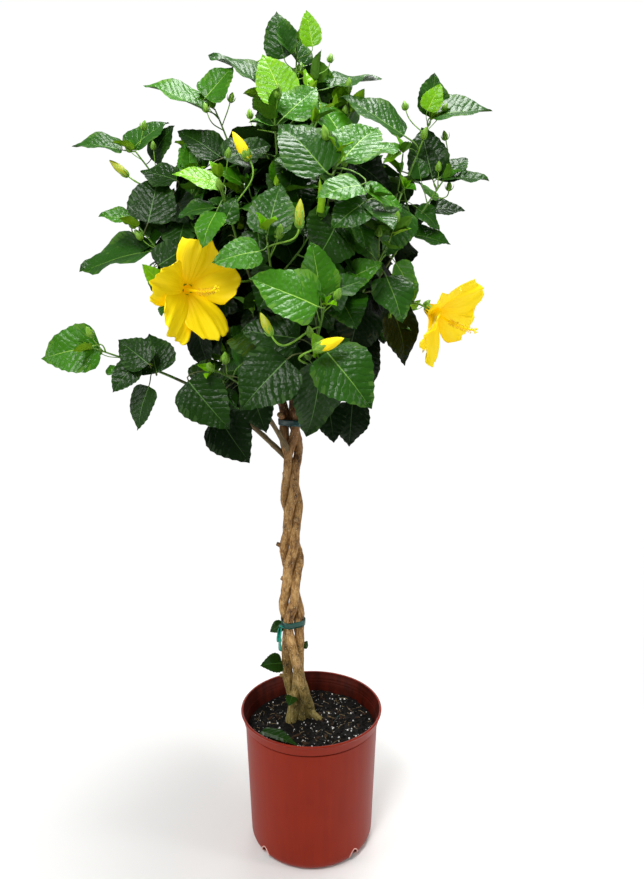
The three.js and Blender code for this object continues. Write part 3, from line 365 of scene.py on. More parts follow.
def unit(vector):
    return vector / np.linalg.norm(vector, axis=-1, keepdims=True)


def mix(start, end, share):
    return start + (end - start) * share


def ease(share):
    share = np.clip(share, 0, 1)
    return share * share * (3 - 2 * share)


def heading(bearing, climb=0):
    flat, rise = math.radians(bearing), math.radians(climb)
    return np.array([math.cos(rise) * math.cos(flat), math.cos(rise) * math.sin(flat),
                     math.sin(rise)])


def square_to(vector, along):
    """The heading of what is left of a vector once it is made square to another."""
    return unit(vector - along * (vector @ along))


def beside(axis):
    """A level heading square to an axis, or any square one where the axis is upright."""
    return unit(np.cross(axis, UP if abs(axis[2]) < 0.9 else np.array([1.0, 0.0, 0.0])))


def circle(sides):
    """The angles of the corners of a ring."""
    return 2 * np.pi * np.arange(sides) / sides


def around(reach, turn, height):
    """Points at each turn round the upright axis, a reach away from it and at a height."""
    across, back = reach * np.cos(turn), reach * np.sin(turn)
    return np.stack(np.broadcast_arrays(across, back, height), axis=-1)


def turned(vector, axis, degrees):
    """The vector after a turn about a unit axis."""
    turn = math.radians(degrees)
    return (vector * math.cos(turn) + np.cross(axis, vector) * math.sin(turn)
            + axis * np.dot(axis, vector) * (1 - math.cos(turn)))


def seeded(seed):
    """A function that gives the same row of numbers from 0 to 1 for the same seed."""
    state = seed & 0xFFFFFFFF

    def draw():
        nonlocal state
        state = (state + 0x6D2B79F5) & 0xFFFFFFFF
        t = ((state ^ (state >> 15)) * (state | 1)) & 0xFFFFFFFF
        t ^= (t + (((t ^ (t >> 7)) * (t | 61)) & 0xFFFFFFFF)) & 0xFFFFFFFF
        return ((t ^ (t >> 14)) & 0xFFFFFFFF) / 4294967296
    return draw


def bumps(points, seed=0):
    """Smooth noise from -1 to 1 whose bumps are about one unit apart."""
    cell = np.floor(points).astype(np.int64)
    inside = points - cell
    inside = inside * inside * (3 - 2 * inside)
    total = np.zeros(points.shape[:-1])
    for corner in np.ndindex(2, 2, 2):
        at = cell + np.array(corner)
        mixed = (at[..., 0] * 374761393 + at[..., 1] * 668265263 + at[..., 2] * 974634777
                 + seed * 362437) & 0xFFFFFFFF
        mixed = ((mixed ^ (mixed >> 13)) * 1274126177) & 0xFFFFFFFF
        mixed = (mixed ^ (mixed >> 16)) & 0xFFFF
        weight = np.prod(np.where(np.array(corner) == 1, inside, 1 - inside), axis=-1)
        total += weight * (mixed / 32767.5 - 1)
    return total


def run(start, leave, end, arrive):
    """A smooth curve that leaves one point along a heading and arrives at another."""
    hold = LIMB_BEND * np.linalg.norm(end - start)
    return np.array([start, start + leave * hold, end - arrive * hold, end])


def on_curve(curve, share):
    t = np.asarray(share, float)[..., None]
    return ((1 - t) ** 3 * curve[0] + 3 * (1 - t) ** 2 * t * curve[1]
            + 3 * (1 - t) * t ** 2 * curve[2] + t ** 3 * curve[3])


def swept(start, leave, end, arrive, steps):
    """Evenly dealt points on the curve that run() makes."""
    return on_curve(run(start, leave, end, arrive), np.linspace(0, 1, steps))


def curve_heading(curve, share):
    t = share
    return unit((1 - t) ** 2 * (curve[1] - curve[0]) + 2 * (1 - t) * t * (curve[2] - curve[1])
                + t ** 2 * (curve[3] - curve[2]))


# ------------------------------------------------------------------ shapes in mesh code

class Heap:
    """The points and faces of many small shapes that become one piece."""

    def __init__(self):
        self.points, self.faces, self.shades, self.grain, self.rims = [], [], [], [], []
        self.count = 0

    def add_faces(self, table, shade=0):
        """Faces with as many corners each, counted from the next point that is added."""
        self.faces.append(np.asarray(table) + self.count)
        self.shades.append(np.broadcast_to(shade, len(table)))

    def add(self, points, faces, shade=0, grain=None):
        """Points, and tables of faces between them; shade says which finish each has."""
        points = np.asarray(points, float).reshape(-1, 3)
        for table in faces:
            self.add_faces(table, shade)
        self.points.append(points)
        self.grain.append(points if grain is None else np.asarray(grain).reshape(-1, 3))
        self.count += len(points)

    def mesh(self, name):
        """Everything in the heap as one bare mesh."""
        made = bpy.data.meshes.new(name)
        faces = [face for table in self.faces for face in table.tolist()]
        made.from_pydata(np.concatenate(self.points).tolist(), [], faces)
        return made


def put(name, data):
    """A new object in the scene."""
    made = bpy.data.objects.new(name, data)
    bpy.context.scene.collection.objects.link(made)
    return made


def ring_quads(rings, sides, closed=False):
    """Quads between rings of points that follow one another, as each ring goes round."""
    first = np.arange(rings if closed else rings - 1)[:, None] * sides
    side = np.arange(sides)
    following = (side + 1) % sides
    quads = [first + side, first + following, first + following + sides, first + side + sides]
    return np.stack(quads, axis=-1).reshape(-1, 4) % (rings * sides)


def grid_quads(grid):
    """Quads between the points of a sheet, whose rows and columns a grid numbers."""
    return np.stack([grid[:-1, :-1], grid[:-1, 1:], grid[1:, 1:], grid[1:, :-1]], axis=-1)


def end_fans(rings, sides):
    """Triangles that close the first and last ring on two points that follow the rings."""
    side = np.arange(sides)
    following = (side + 1) % sides
    last = (rings - 1) * sides
    low = np.stack([np.full(sides, rings * sides), following, side], axis=-1)
    high = np.stack([np.full(sides, rings * sides + 1), last + side, last + following], axis=-1)
    return np.concatenate([low, high])


def piece(name, heap, materials, slot=None, replaces=()):
    """Makes one piece from a heap, and hangs it on the frame where it has a slot."""
    mesh = heap.mesh(name)
    for material in materials:
        mesh.materials.append(material)
    mesh.polygons.foreach_set("material_index", np.concatenate(heap.shades).astype(np.int32))
    mesh.polygons.foreach_set("use_smooth", np.full(len(mesh.polygons), True))
    grain = mesh.attributes.new("grain", "FLOAT_VECTOR", "POINT")
    grain.data.foreach_set("vector", np.concatenate(heap.grain).astype(np.float32).ravel())
    if heap.rims:
        on_rim = np.zeros(heap.count, bool)
        on_rim[np.concatenate(heap.rims)] = True
        ends = np.empty(2 * len(mesh.edges), np.int32)
        mesh.edges.foreach_get("vertices", ends)
        sharp = mesh.attributes.new("sharp_edge", "BOOLEAN", "EDGE")
        sharp.data.foreach_set("value", on_rim[ends.reshape(-1, 2)].all(axis=1))
    mesh.update()
    made = put(name, mesh)
    if slot:
        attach(made, "root")
    if replaces:
        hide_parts(*replaces)
    return made


def tube(line, radii, sides, relief=None, flat=1.0):
    """A closed round limb along a line.  relief(grain) says how far the skin stands out.

    Returns its points, its faces, and its grain: where each point would be if the limb
    were straight, so that a pattern can follow the limb.
    """
    line, radii = np.asarray(line, float), np.asarray(radii, float)
    along = unit(np.vstack([line[1:], line[-1:]]) - np.vstack([line[:1], line[:-1]]))
    across = np.array([0.0, 1.0, 0.0])
    if abs(along[0] @ across) > 0.8:
        across = np.array([1.0, 0.0, 0.0])
    sidewise = np.empty_like(line)
    for i, heading_here in enumerate(along):
        across = square_to(across, heading_here)
        sidewise[i] = across
    upward = np.cross(along, sidewise)
    turn = circle(sides)
    reach = np.concatenate([[0], np.cumsum(np.linalg.norm(np.diff(line, axis=0), axis=1))])
    grain = around(radii[:, None], turn, reach[:, None])
    full = np.broadcast_to(radii[:, None], grain.shape[:2])
    if relief is not None:
        full = full + relief(grain)
    points = (line[:, None] + sidewise[:, None] * (full * np.cos(turn))[..., None]
              + upward[:, None] * (full * flat * np.sin(turn))[..., None])
    count = len(line)
    faces = [ring_quads(count, sides), end_fans(count, sides)]
    return (np.concatenate([points.reshape(-1, 3), line[:1], line[-1:]]), faces,
            np.concatenate([grain.reshape(-1, 3), [[0, 0, 0], [0, 0, reach[-1]]]]))


def add_tube(heap, line, radii, sides, shade=0, relief=None, flat=1.0):
    points, faces, grain = tube(line, radii, sides, relief, flat)
    heap.add(points, faces, shade, grain)


def lathe(profile, sides):
    """A turned shape: the profile's first and last points lie on the axis."""
    profile = np.asarray(profile, float)
    rings = profile[1:-1]
    points = around(rings[:, :1], circle(sides), rings[:, 1:])
    faces = [ring_quads(len(rings), sides), end_fans(len(rings), sides)]
    ends = [[0, 0, profile[0, 1]], [0, 0, profile[-1, 1]]]
    return np.concatenate([points.reshape(-1, 3), ends]), faces


def arc(centre, radius, start, end, steps):
    turn = np.radians(np.linspace(start, end, steps + 1))
    return np.stack([centre[0] + radius * np.cos(turn), centre[1] + radius * np.sin(turn)], -1)


def stand(points, base, axis, roll=0):
    """Turns points made round +Z so that they stand on a base along an axis."""
    side = turned(beside(axis), axis, roll)
    third = np.cross(axis, side)
    points = np.asarray(points)
    return base + points[..., :1] * side + points[..., 1:2] * third + points[..., 2:] * axis


def lump(centre, size, seed, rough=0.3, rings=4, sides=6):
    """A small rough grain: a squashed ball with noise on it, turned any way."""
    draw = seeded(seed)
    polar = np.linspace(0, np.pi, rings + 1)
    profile = np.stack([np.sin(polar), -np.cos(polar)], -1)
    points, faces = lathe(profile, sides)
    points = points * (1 + rough * bumps(points * 1.7 + seed * 3.1, seed)[:, None])
    axis = heading(360 * draw(), 180 * draw() - 90)
    return stand(points * np.asarray(size), np.asarray(centre), axis, 360 * draw()), faces


# ------------------------------------------------------------------ finishes

VEIN_SPACING = 11 * MM
VEIN_SWEEP = 0.8  # how far forward a side vein runs for each unit sideways
VEIN_DEPTH = 1.1 * MM
PORE_SPACING = 4 * MM
# painted glow: how strongly the petals give off their own light, in place of light through them
PETAL_PAINTED_GLOW = 0.2
EVEN = (1, 1, 1)
SCALED_SUM = {"operation": "MULTIPLY_ADD"}
COLOURS = {"data_type": "RGBA"}
NUMBERS = {"data_type": "FLOAT"}


def linear(colour):
    """An sRGB hex colour as the linear colour that a shader takes."""
    parts = [int(colour[i:i + 2], 16) / 255 for i in (1, 3, 5)]
    return (*[c / 12.92 if c <= 0.04045 else ((c + 0.055) / 1.055) ** 2.4 for c in parts], 1.0)


def feed(made, inputs):
    """Sets a node's inputs, each to a value, to a node's first output, or to one output."""
    for name, value in inputs.items():
        if isinstance(value, bpy.types.Node):
            value = value.outputs[0]
        if isinstance(value, bpy.types.NodeSocket):
            made.id_data.links.new(value, made.inputs[name])
        else:
            made.inputs[name].default_value = value


def node(tree, kind, settings=None, inputs=None, stops=()):
    """Adds a node with its settings and links; stops are a ramp's (position, hex colour)."""
    made = tree.nodes.new("ShaderNode" + kind)
    for name, value in (settings or {}).items():
        setattr(made, name, value)
    feed(made, inputs or {})
    while stops and len(made.color_ramp.elements) < len(stops):
        made.color_ramp.elements.new(0.5)
    for i, (position, colour) in enumerate(stops):
        made.color_ramp.elements[i].position = position
        made.color_ramp.elements[i].color = linear(colour)
    return made


def blank(name, **shader_inputs):
    """A new material with one shader, its node tree, and that shader's node."""
    material = bpy.data.materials.new(name)
    material.use_nodes = True
    shader = material.node_tree.nodes["Principled BSDF"]
    feed(shader, {socket.replace("_", " "): value for socket, value in shader_inputs.items()})
    return material, material.node_tree, shader


def place_of(tree):
    """Where a point is in the object."""
    return node(tree, "TexCoord").outputs["Object"]


def grain_of(tree):
    """Where a point would be if its limb were straight, or its blade flat."""
    return node(tree, "Attribute", {"attribute_name": "grain"}).outputs["Vector"]


def noise(tree, where, size, detail=3, stretch=EVEN, roughness=0.5):
    """Noise whose bumps are one size apart, drawn out along the axes by stretch."""
    place = node(tree, "Mapping", {}, {"Vector": where, "Scale": [1 / size / s for s in stretch]})
    return node(tree, "TexNoise", {"noise_dimensions": "3D"}, {
        "Vector": place, "Scale": 1.0, "Detail": detail, "Roughness": roughness})


def raise_skin(tree, shader, height, strength, distance):
    bump = node(tree, "Bump", {}, {"Height": height, "Strength": strength, "Distance": distance})
    feed(shader, {"Normal": bump})


def mottled(name, follow, size, stretch, tones, bump=None, detail=3, rough=0.5, **shader_inputs):
    """A finish whose colour, and its relief if it has a bump, come from one noise of a real
    size; follow gives what the noise lies on, and bump is a strength and a depth."""
    material, tree, shader = blank(name, **shader_inputs)
    mottle = noise(tree, follow(tree), size, detail, stretch, rough)
    feed(shader, {"Base Color": node(tree, "ValToRGB", {}, {0: mottle}, tones)})
    if bump:
        raise_skin(tree, shader, mottle, *bump)
    return material


def moulded_polypropylene():
    """Nursery pot polypropylene, thermoformed: brick red, satin, with a faint vertical
    drag from the mould and slow changes of gloss from dust."""
    material, tree, shader = blank("moulded_polypropylene", IOR=1.49, Specular_IOR_Level=0.16)
    place = place_of(tree)
    drag = noise(tree, place, 9 * MM, 4, (1, 1, 14))
    cloud = noise(tree, place, 60 * MM)
    blend = node(tree, "Mix", NUMBERS, {0: 0.5, 2: drag, 3: cloud})
    red = node(tree, "ValToRGB", {}, {0: blend}, [(0.3, "#7e1e09"), (0.7, "#89240b")])
    gloss = node(tree, "MapRange", {}, {0: cloud, 3: 0.36, 4: 0.46})
    feed(shader, {"Base Color": red, "Roughness": gloss})
    raise_skin(tree, shader, noise(tree, place, 2.2 * MM, 2), 0.25, 0.25 * MM)
    return material


def crumbly(name, dark, light, grit, roughness=0.95, depth=0.6 * MM):
    """Any loose, dry, dull crumb: peat, perlite, chipped bark."""
    return mottled(name, place_of, grit, EVEN, [(0.32, dark), (0.68, light)], (0.8, depth), 4, 0.7,
                   IOR=1.45, Roughness=roughness, Specular_IOR_Level=0.25)


def hibiscus_bark():
    """Hibiscus bark: thin, tan and satin, finely wrinkled across, with pale pores and brown
    freckles; algae greens its foot, and the young wood above is redder."""
    material, tree, shader = blank(
        "hibiscus_bark", IOR=1.5, Roughness=0.66, Specular_IOR_Level=0.4)
    grain, place = grain_of(tree), place_of(tree)
    freckle = noise(tree, grain, 3.2 * MM, 5, (1, 1, 2.4), 0.7)
    patch = noise(tree, place, 16 * MM, 3, (1, 1, 1.6))
    tone = node(tree, "Mix", NUMBERS, {0: 0.4, 2: freckle, 3: patch})
    tan = node(tree, "ValToRGB", {}, {0: tone}, [
        (0.36, "#2a1a0b"), (0.42, "#6e4b24"), (0.51, "#a67c44"), (0.64, "#d0aa70")])
    green = node(tree, "ValToRGB", {}, {0: tone}, [
        (0.36, "#2f2b12"), (0.5, "#7b7238"), (0.66, "#aca062")])
    red = node(tree, "ValToRGB", {}, {0: tone}, [(0.38, "#3a1f10"), (0.62, "#85532f")])
    height = node(tree, "SeparateXYZ", {}, {0: place}).outputs[2]
    ragged = node(tree, "Math", SCALED_SUM, {0: patch, 1: 110 * MM, 2: height})
    low = node(tree, "MapRange", {}, {0: ragged, 1: 300 * MM, 2: 430 * MM, 3: 0.85, 4: 0.0})
    high = node(tree, "MapRange", {}, {0: ragged, 1: 700 * MM, 2: 860 * MM, 3: 0.0, 4: 0.8})
    footed = node(tree, "Mix", COLOURS, {0: low, 6: tan, 7: green}).outputs[2]
    whole = node(tree, "Mix", COLOURS, {0: high, 6: footed, 7: red}).outputs[2]
    spots = node(tree, "Mapping", {}, {
        "Vector": grain, "Scale": [1 / PORE_SPACING, 1 / PORE_SPACING, 0.8 / PORE_SPACING]})
    pores = node(tree, "TexVoronoi", {"feature": "F1"}, {"Vector": spots, "Scale": 1.0})
    pore = node(tree, "MapRange", {}, {0: pores, 1: 0.1, 2: 0.24, 3: 0.75, 4: 0.0})
    dotted = node(tree, "Mix", COLOURS, {0: pore, 6: whole, 7: linear("#d9c79a")}).outputs[2]
    feed(shader, {"Base Color": dotted})
    wrinkle = noise(tree, grain, 2.6 * MM, 4, (2.2, 2.2, 0.5), 0.6)
    relief = node(tree, "Math", SCALED_SUM, {0: freckle, 1: 0.7, 2: wrinkle})
    raise_skin(tree, shader, relief, 0.9, 1.1 * MM)
    return material


def green_skin(name, dark, light, roughness=0.42):
    """A soft green shoot or stalk: smooth and faintly streaked along its length."""
    return mottled(name, grain_of, 1.4 * MM, (1, 1, 7), [(0.3, dark), (0.7, light)],
                   (0.3, 0.2 * MM), IOR=1.42, Roughness=roughness)


def leaf_skin(name, colour, roughness, shine, quilt):
    """A leaf's waxed skin: side veins pull it down into furrows, and between them a net of
    small veins quilts it, so that its shine breaks into flecks.  Underneath, veins stand out."""
    material, tree, shader = blank(name, IOR=1.45, Base_Color=linear(colour),
                                   Specular_IOR_Level=shine, Roughness=roughness)
    grain = grain_of(tree)
    split = node(tree, "SeparateXYZ", {}, {0: grain})
    sideways = node(tree, "Math", {"operation": "ABSOLUTE"}, {0: split})
    straight = node(tree, "Math", SCALED_SUM, {0: sideways, 1: -VEIN_SWEEP, 2: split.outputs[1]})
    wavy = noise(tree, grain, 12 * MM, 2)
    swept = node(tree, "Math", SCALED_SUM, {0: wavy, 1: 9 * MM, 2: straight})
    ridge = node(tree, "Math", {"operation": "PINGPONG"}, {0: swept, 1: VEIN_SPACING / 2})
    share = node(tree, "Math", {"operation": "MULTIPLY"}, {0: ridge, 1: 2 / VEIN_SPACING})
    furrow = node(tree, "Math", {"operation": "POWER"}, {0: share, 1: 0.5})
    place = node(tree, "Mapping", {}, {"Vector": grain, "Scale": [1 / (5.5 * MM)] * 3})
    cells = node(tree, "TexVoronoi", {"feature": "SMOOTH_F1"},
                 {"Vector": place, "Scale": 1.0, "Smoothness": 0.4})
    puffed = node(tree, "Math", {"operation": "MULTIPLY"}, {0: cells, 1: -0.75})
    uneven = noise(tree, grain, 8 * MM, 2)
    quilted = node(tree, "Math", SCALED_SUM, {0: uneven, 1: 1.2, 2: puffed})
    height = node(tree, "Math", SCALED_SUM, {0: furrow, 1: 0.85, 2: quilted})
    raise_skin(tree, shader, height, abs(quilt), math.copysign(VEIN_DEPTH, quilt))
    return material


def petal_skin():
    """Hibiscus petal: thin, silky and deep yellow, ribbed from the throat outwards, and
    never dark: a painted glow stands in for the light that comes through it."""
    material, tree, shader = blank(
        "petal_yellow", IOR=1.4, Roughness=0.5, Specular_IOR_Level=0.3,
        Emission_Color=linear("#ffd800"), Emission_Strength=PETAL_PAINTED_GLOW)
    grain = grain_of(tree)
    outward = node(tree, "SeparateXYZ", {}, {0: grain}).outputs[2]
    rib = noise(tree, grain, 1.0, 3, (0.035, 1, 0.9))
    share = node(tree, "Math", SCALED_SUM, {0: rib, 1: 0.16, 2: outward})
    yellow = node(tree, "ValToRGB", {}, {0: share}, [
        (0.12, "#e6b406"), (0.3, "#f4cc08"), (0.55, "#f9da08"), (1.0, "#fce418")])
    feed(shader, {"Base Color": yellow})
    raise_skin(tree, shader, rib, 0.5, 0.8 * MM)
    return material


def vinyl_tape(name, dark, light):
    """Soft vinyl garden tape: glossy, slightly stretched into fine lengthwise lines."""
    return mottled(name, place_of, 3 * MM, (6, 6, 1), [(0.35, dark), (0.65, light)],
                   (0.4, 0.5 * MM), IOR=1.53, Roughness=0.28)


POT_PLASTIC = moulded_polypropylene()
# The same plastic with painted shade: darkened inside the pot and in the groove under its lip,
# where shade falls: dull red-brown, with faint upright runs
PAINTED_SHADE_PLASTIC = mottled("polypropylene_painted_shade", place_of, 14 * MM, (1, 1, 2.5),
                 [(0.35, "#3a1007"), (0.7, "#56180a")], None, 4,
                 IOR=1.49, Roughness=0.55, Specular_IOR_Level=0.15)
# The same plastic where the drain holes were punched: strained to a dusty pink
PUNCHED = mottled("strained_polypropylene", place_of, 1.5 * MM, EVEN,
                  [(0.35, "#cf8d80"), (0.65, "#e6bdb2")], IOR=1.49, Roughness=0.6)
PEAT = crumbly("peat_and_bark_fines", "#030302", "#14110e", 2.6 * MM, 0.75, 1.8 * MM)
PERLITE = crumbly("perlite", "#d8d6d0", "#fbfaf6", 0.9 * MM)
CHIP = crumbly("chipped_bark", "#150d07", "#4e3826", 2.2 * MM)
FIBRE = crumbly("wood_fibre", "#5e4c34", "#a8946f", 1.2 * MM)
BARK = hibiscus_bark()
# Second-year hibiscus wood: grey-brown and dull, streaked with the green that shows through
YOUNG_WOOD = mottled("young_wood", grain_of, 1.6 * MM, (1, 1, 8),
                     [(0.3, "#3a2c18"), (0.55, "#6d5a34"), (0.75, "#8a7a50")],
                     (0.5, 0.4 * MM), 4, IOR=1.5, Roughness=0.7)
# The weathered end of a pruned stub: pale dry wood, grey in its cracks
CUT_WOOD = crumbly("weathered_cut", "#6b4c2c", "#c7a678", 1.6 * MM, 0.9)
SHOOT = green_skin("green_shoot", "#3f6a1c", "#6f9a34")
OLD_SHOOT = green_skin("browning_shoot", "#33421a", "#667038", 0.55)
STALK = green_skin("leaf_stalk", "#4a7a22", "#7fa844")
CALYX = green_skin("calyx", "#4f8a1e", "#93bf3c", 0.48)
GREEN_BUD = green_skin("unripe_bud", "#8a9a14", "#c2c428", 0.45)
PETAL = petal_skin()
POLLEN = crumbly("pollen", "#e9b40a", "#fbe04a", 0.8 * MM, 0.8, 0.2 * MM)
TAPE_BRIGHT = vinyl_tape("vinyl_tape", "#08705f", "#12a088")
# painted shade: a darker copy of the tape for the lower band, whose hanging tail keeps the bright one
TAPE_HALF_SHADED = vinyl_tape("vinyl_tape_half_shaded", "#05382f", "#0b594b")
# painted shade: the darkest copy of the tape, for the upper tie in the head's shade; the scrap on the
# mix uses it too
TAPE_SHADED = vinyl_tape("vinyl_tape_shaded", "#0b2f30", "#17504c")

# Leaf tones from the youngest to the oldest: upper side, underside, rib, and the upper
# side's shine. Deep and shade are also painted shade: they go to leaves deep in the head and to
# leaves that stand in shadow, and shade is nearly black.
LEAF_TONES = {
    "lime": ("#6cab08", "#80b216", "#b4d648", 0.26),
    "fresh": ("#37720a", "#508216", "#90bc4a", 0.27),
    "green": ("#23500a", "#3a6214", "#6c983a", 0.25),
    "deep": ("#193808", "#294a10", "#4e7830", 0.18),
    "shade": ("#0a1c04", "#162a0b", "#304c1c", 0.1),
}
LEAF_MATERIALS = {
    tone: (leaf_skin(f"leaf_{tone}_upper", upper, 0.31, shine, 0.75),
           leaf_skin(f"leaf_{tone}_under", under, 0.6, 0.25, -0.35),
           leaf_skin(f"leaf_{tone}_rib", rib, 0.45, 0.3, 0.05))
    for tone, (upper, under, rib, shine) in LEAF_TONES.items()
}

# ------------------------------------------------------------------ pot

LIP_FOOT = POT_HEIGHT - LIP_HEIGHT
WALL_TOP = LIP_FOOT_RADIUS - LIP_STEP


def corner_radius(height):
    """The pot's outer radius at a height within its rounded foot."""
    below = max(0.0, POT_CORNER - height)
    return POT_FOOT_RADIUS - POT_CORNER + math.sqrt(POT_CORNER ** 2 - below ** 2)


def pot_profile():
    """The pot's section from the middle of its underside, up, over the rim and down inside,
    and which finish each step of it has: 0 for clean plastic, 1 for plastic darkened as painted shade."""
    foot = (POT_FOOT_RADIUS - POT_CORNER, POT_CORNER)
    lip_top = POT_RIM_RADIUS - 1.7 * MM
    shoulder = LIP_FOOT - 3.2 * MM
    groove = WALL_TOP - LIP_GROOVE
    outside = [
        [(0, 0), (foot[0] * 0.5, 0)],
        arc(foot, POT_CORNER, -90, 0, 10),
        np.linspace((POT_FOOT_RADIUS, POT_CORNER), (WALL_TOP, shoulder - 1.4 * MM), 12)[1:],
        arc((WALL_TOP - 0.9 * MM, shoulder - 0.9 * MM), 0.9 * MM, 10, 90, 4),
    ]
    recess = [[(groove, shoulder + 0.2 * MM), (groove, LIP_FOOT - 0.5 * MM)]]
    lip = [
        arc((LIP_FOOT_RADIUS - 0.7 * MM, LIP_FOOT + 0.5 * MM), 0.7 * MM, -90, 0, 4),
        np.linspace((LIP_FOOT_RADIUS, LIP_FOOT + MM),
                    (lip_top - 0.4 * MM, POT_HEIGHT - 5 * MM), 5)[1:],
        arc((lip_top - 0.1 * MM, POT_HEIGHT - 1.8 * MM), 1.8 * MM, -75, 90, 8),
        [(lip_top - 2.0 * MM, POT_HEIGHT - 0.8 * MM)],
    ]
    steps = []
    for i in range(3):
        height = LIP_FOOT + (9.5 - 5.5 * i) * MM
        radius = LIP_FOOT_RADIUS - POT_WALL + (1.4 - 1.5 * i) * MM
        steps.append([(radius + 1.2 * MM, height + 1.4 * MM), (radius, height),
                      (radius - 0.2 * MM, height - 2.8 * MM)])
    inside = [
        [(lip_top - POT_WALL, POT_HEIGHT - 3 * MM)],
        *steps,
        [(WALL_TOP - POT_WALL, LIP_FOOT - 8 * MM), (POT_FOOT_RADIUS - POT_WALL, POT_CORNER)],
        [(foot[0], POT_WALL), (0, POT_WALL)],
    ]
    points, finishes = [], []
    for parts, finish in ((outside, 0), (recess, 1), (lip, 0), (inside, 1)):
        for part in parts:
            points.append(np.asarray(part, float))
            finishes.append(np.full(len(part), finish))
    return np.concatenate(points), np.concatenate(finishes)


def gothic_arch(width, height):
    """The outline of a drain hole, seen from outside, from its left foot to its right."""
    spring = height * 0.42
    right = arc((-width / 2, spring), width, 0, 58, 6)
    right[:, 1] = spring + (right[:, 1] - spring) * (height - spring) / (right[-1, 1] - spring)
    right[-1, 0] = 0
    left = right[::-1][1:] * [-1, 1]
    return np.concatenate([[[width / 2, 0]], right, left, [[-width / 2, 0]]])


def add_drain(cutter, edges, bearing):
    """One drain: a bar with the hole's outline that cuts it out, and its torn edge."""
    out, side = heading(bearing), heading(bearing + 90)
    outline = gothic_arch(DRAIN_WIDTH, DRAIN_HEIGHT)
    bar = outline.copy()
    bar[[0, -1], 1] = -3 * MM
    ends = [out * reach + side * bar[:, :1] + UP * bar[:, 1:]
            for reach in (POT_FOOT_RADIUS - 24 * MM, POT_FOOT_RADIUS + 6 * MM)]
    corner = np.arange(len(bar))
    cutter.add(np.concatenate(ends),
               [ring_quads(2, len(bar)), corner[None, ::-1], corner[None] + len(bar)])
    level = np.maximum(outline[:, 1], EDGE_LOWEST)
    reach = np.array([corner_radius(height) + 0.1 * MM for height in level])
    rim = out * reach[:, None] + side * outline[:, :1] + UP * level[:, None]
    add_tube(edges, rim, np.full(len(rim), DRAIN_EDGE), 6)


def cut_out(made, cutter_mesh):
    """Cuts one mesh out of a piece, and keeps the piece's new edges sharp."""
    cutting = put("cutter", cutter_mesh)
    boolean = made.modifiers.new("drains", "BOOLEAN")
    boolean.operation = "DIFFERENCE"
    boolean.solver = "EXACT"
    boolean.object = cutting
    bpy.context.view_layer.update()
    cut = bpy.data.meshes.new_from_object(
        made.evaluated_get(bpy.context.evaluated_depsgraph_get()))
    made.modifiers.clear()
    cut.set_sharp_from_angle(angle=math.radians(SHARP_ANGLE))
    made.data = cut
    bpy.data.objects.remove(cutting)


def make_pot():
    heap = Heap()
    profile, finishes = pot_profile()
    points, (walls, caps) = lathe(profile, POT_SIDES)
    heap.add_faces(caps, np.repeat([0, 1], POT_SIDES))
    heap.add_faces(walls, np.repeat(np.maximum(finishes[1:-2], finishes[2:-1]), POT_SIDES))
    heap.add(points, [])
    # the second finish is painted shade, inside the pot and in the groove under its lip
    pot = piece("pot_shell", heap, [POT_PLASTIC, PAINTED_SHADE_PLASTIC], "pot_plastic", ["pot"])
    cutter, edges = Heap(), Heap()
    for i in range(DRAIN_COUNT):
        add_drain(cutter, edges, DRAIN_FIRST_BEARING + 360 / DRAIN_COUNT * i)
    cut_out(pot, cutter.mesh("cutter"))
    piece("drain_edges", edges, [PUNCHED], "pot_plastic")


# ------------------------------------------------------------------ potting mix

MIX_ROOM = 0.5 * MM
MIX_RADIUS = mix(POT_FOOT_RADIUS, WALL_TOP, (SOIL_TOP - POT_CORNER) / LIP_FOOT) - POT_WALL - 0.4 * MM
MIX_RINGS = 56
MIX_SIDES = 180
CRUMB_COUNT = 1500
CHIP_COUNT = 120
PERLITE_COUNT = 330
FIBRE_COUNT = 110
TORN_BARK_COUNT = 26


def mix_height(x, y):
    """The height of the potting mix: lumpy on three scales."""
    at = np.stack([x, y, np.zeros_like(x)], -1)
    coarse = bumps(at / (26 * MM), 3)
    fine = bumps(at / (6 * MM), 5)
    crumb = bumps(at / (2.6 * MM), 7)
    return SOIL_TOP - 1.5 * MM + (2.6 * coarse + 1.3 * fine + 0.8 * crumb) * MM


def scattered(seed, count):
    """Places spread evenly over the potting mix, and the rest of that row of numbers."""
    draw = seeded(seed)
    places = np.zeros((count, 3))
    for place in places:
        out = MIX_RADIUS * 0.985 * math.sqrt(draw())
        turn = 2 * math.pi * draw()
        place[:2] = out * math.cos(turn), out * math.sin(turn)
    places[:, 2] = mix_height(places[:, 0], places[:, 1])
    return places, draw


def chip(centre, size, seed, rough, upright, sway, draw):
    """A flat flake of bark, whose flat side faces up as steeply as upright and sway say."""
    points, faces = lump((0, 0, 0), (1, 1, 1), seed, rough, 3, 6)
    axis = heading(360 * draw(), upright + sway * draw())
    return stand(points * size, centre, axis, 360 * draw()), faces


def make_mix_body():
    """The mix itself: a lumpy top, and a wall that follows the pot's down to its floor."""
    heap = Heap()
    radius = MIX_RADIUS * np.linspace(0, 1, MIX_RINGS + 1)[1:, None]
    turn = circle(MIX_SIDES)
    top = around(radius, turn, 0.0)
    top[..., 2] = mix_height(top[..., 0], top[..., 1])
    top[-1, :, 2] = SOIL_TOP - 3 * MM
    wall = [around(out, turn, height) for out, height in (
        (MIX_RADIUS, SOIL_TOP - 12 * MM),
        (POT_FOOT_RADIUS - POT_WALL - MIX_ROOM, POT_CORNER),
        (POT_FOOT_RADIUS - POT_CORNER - MIX_ROOM, POT_WALL + MIX_ROOM))]
    middle = [0, 0, mix_height(*np.zeros((2, 1)))[0]]
    points = np.concatenate([top.reshape(-1, 3), *wall, [middle, [0, 0, POT_WALL + MIX_ROOM]]])
    rings = MIX_RINGS + len(wall)
    heap.add(points, [ring_quads(rings, MIX_SIDES)[:, [0, 3, 2, 1]],
                      end_fans(rings, MIX_SIDES)[:, [0, 2, 1]]])
    return heap


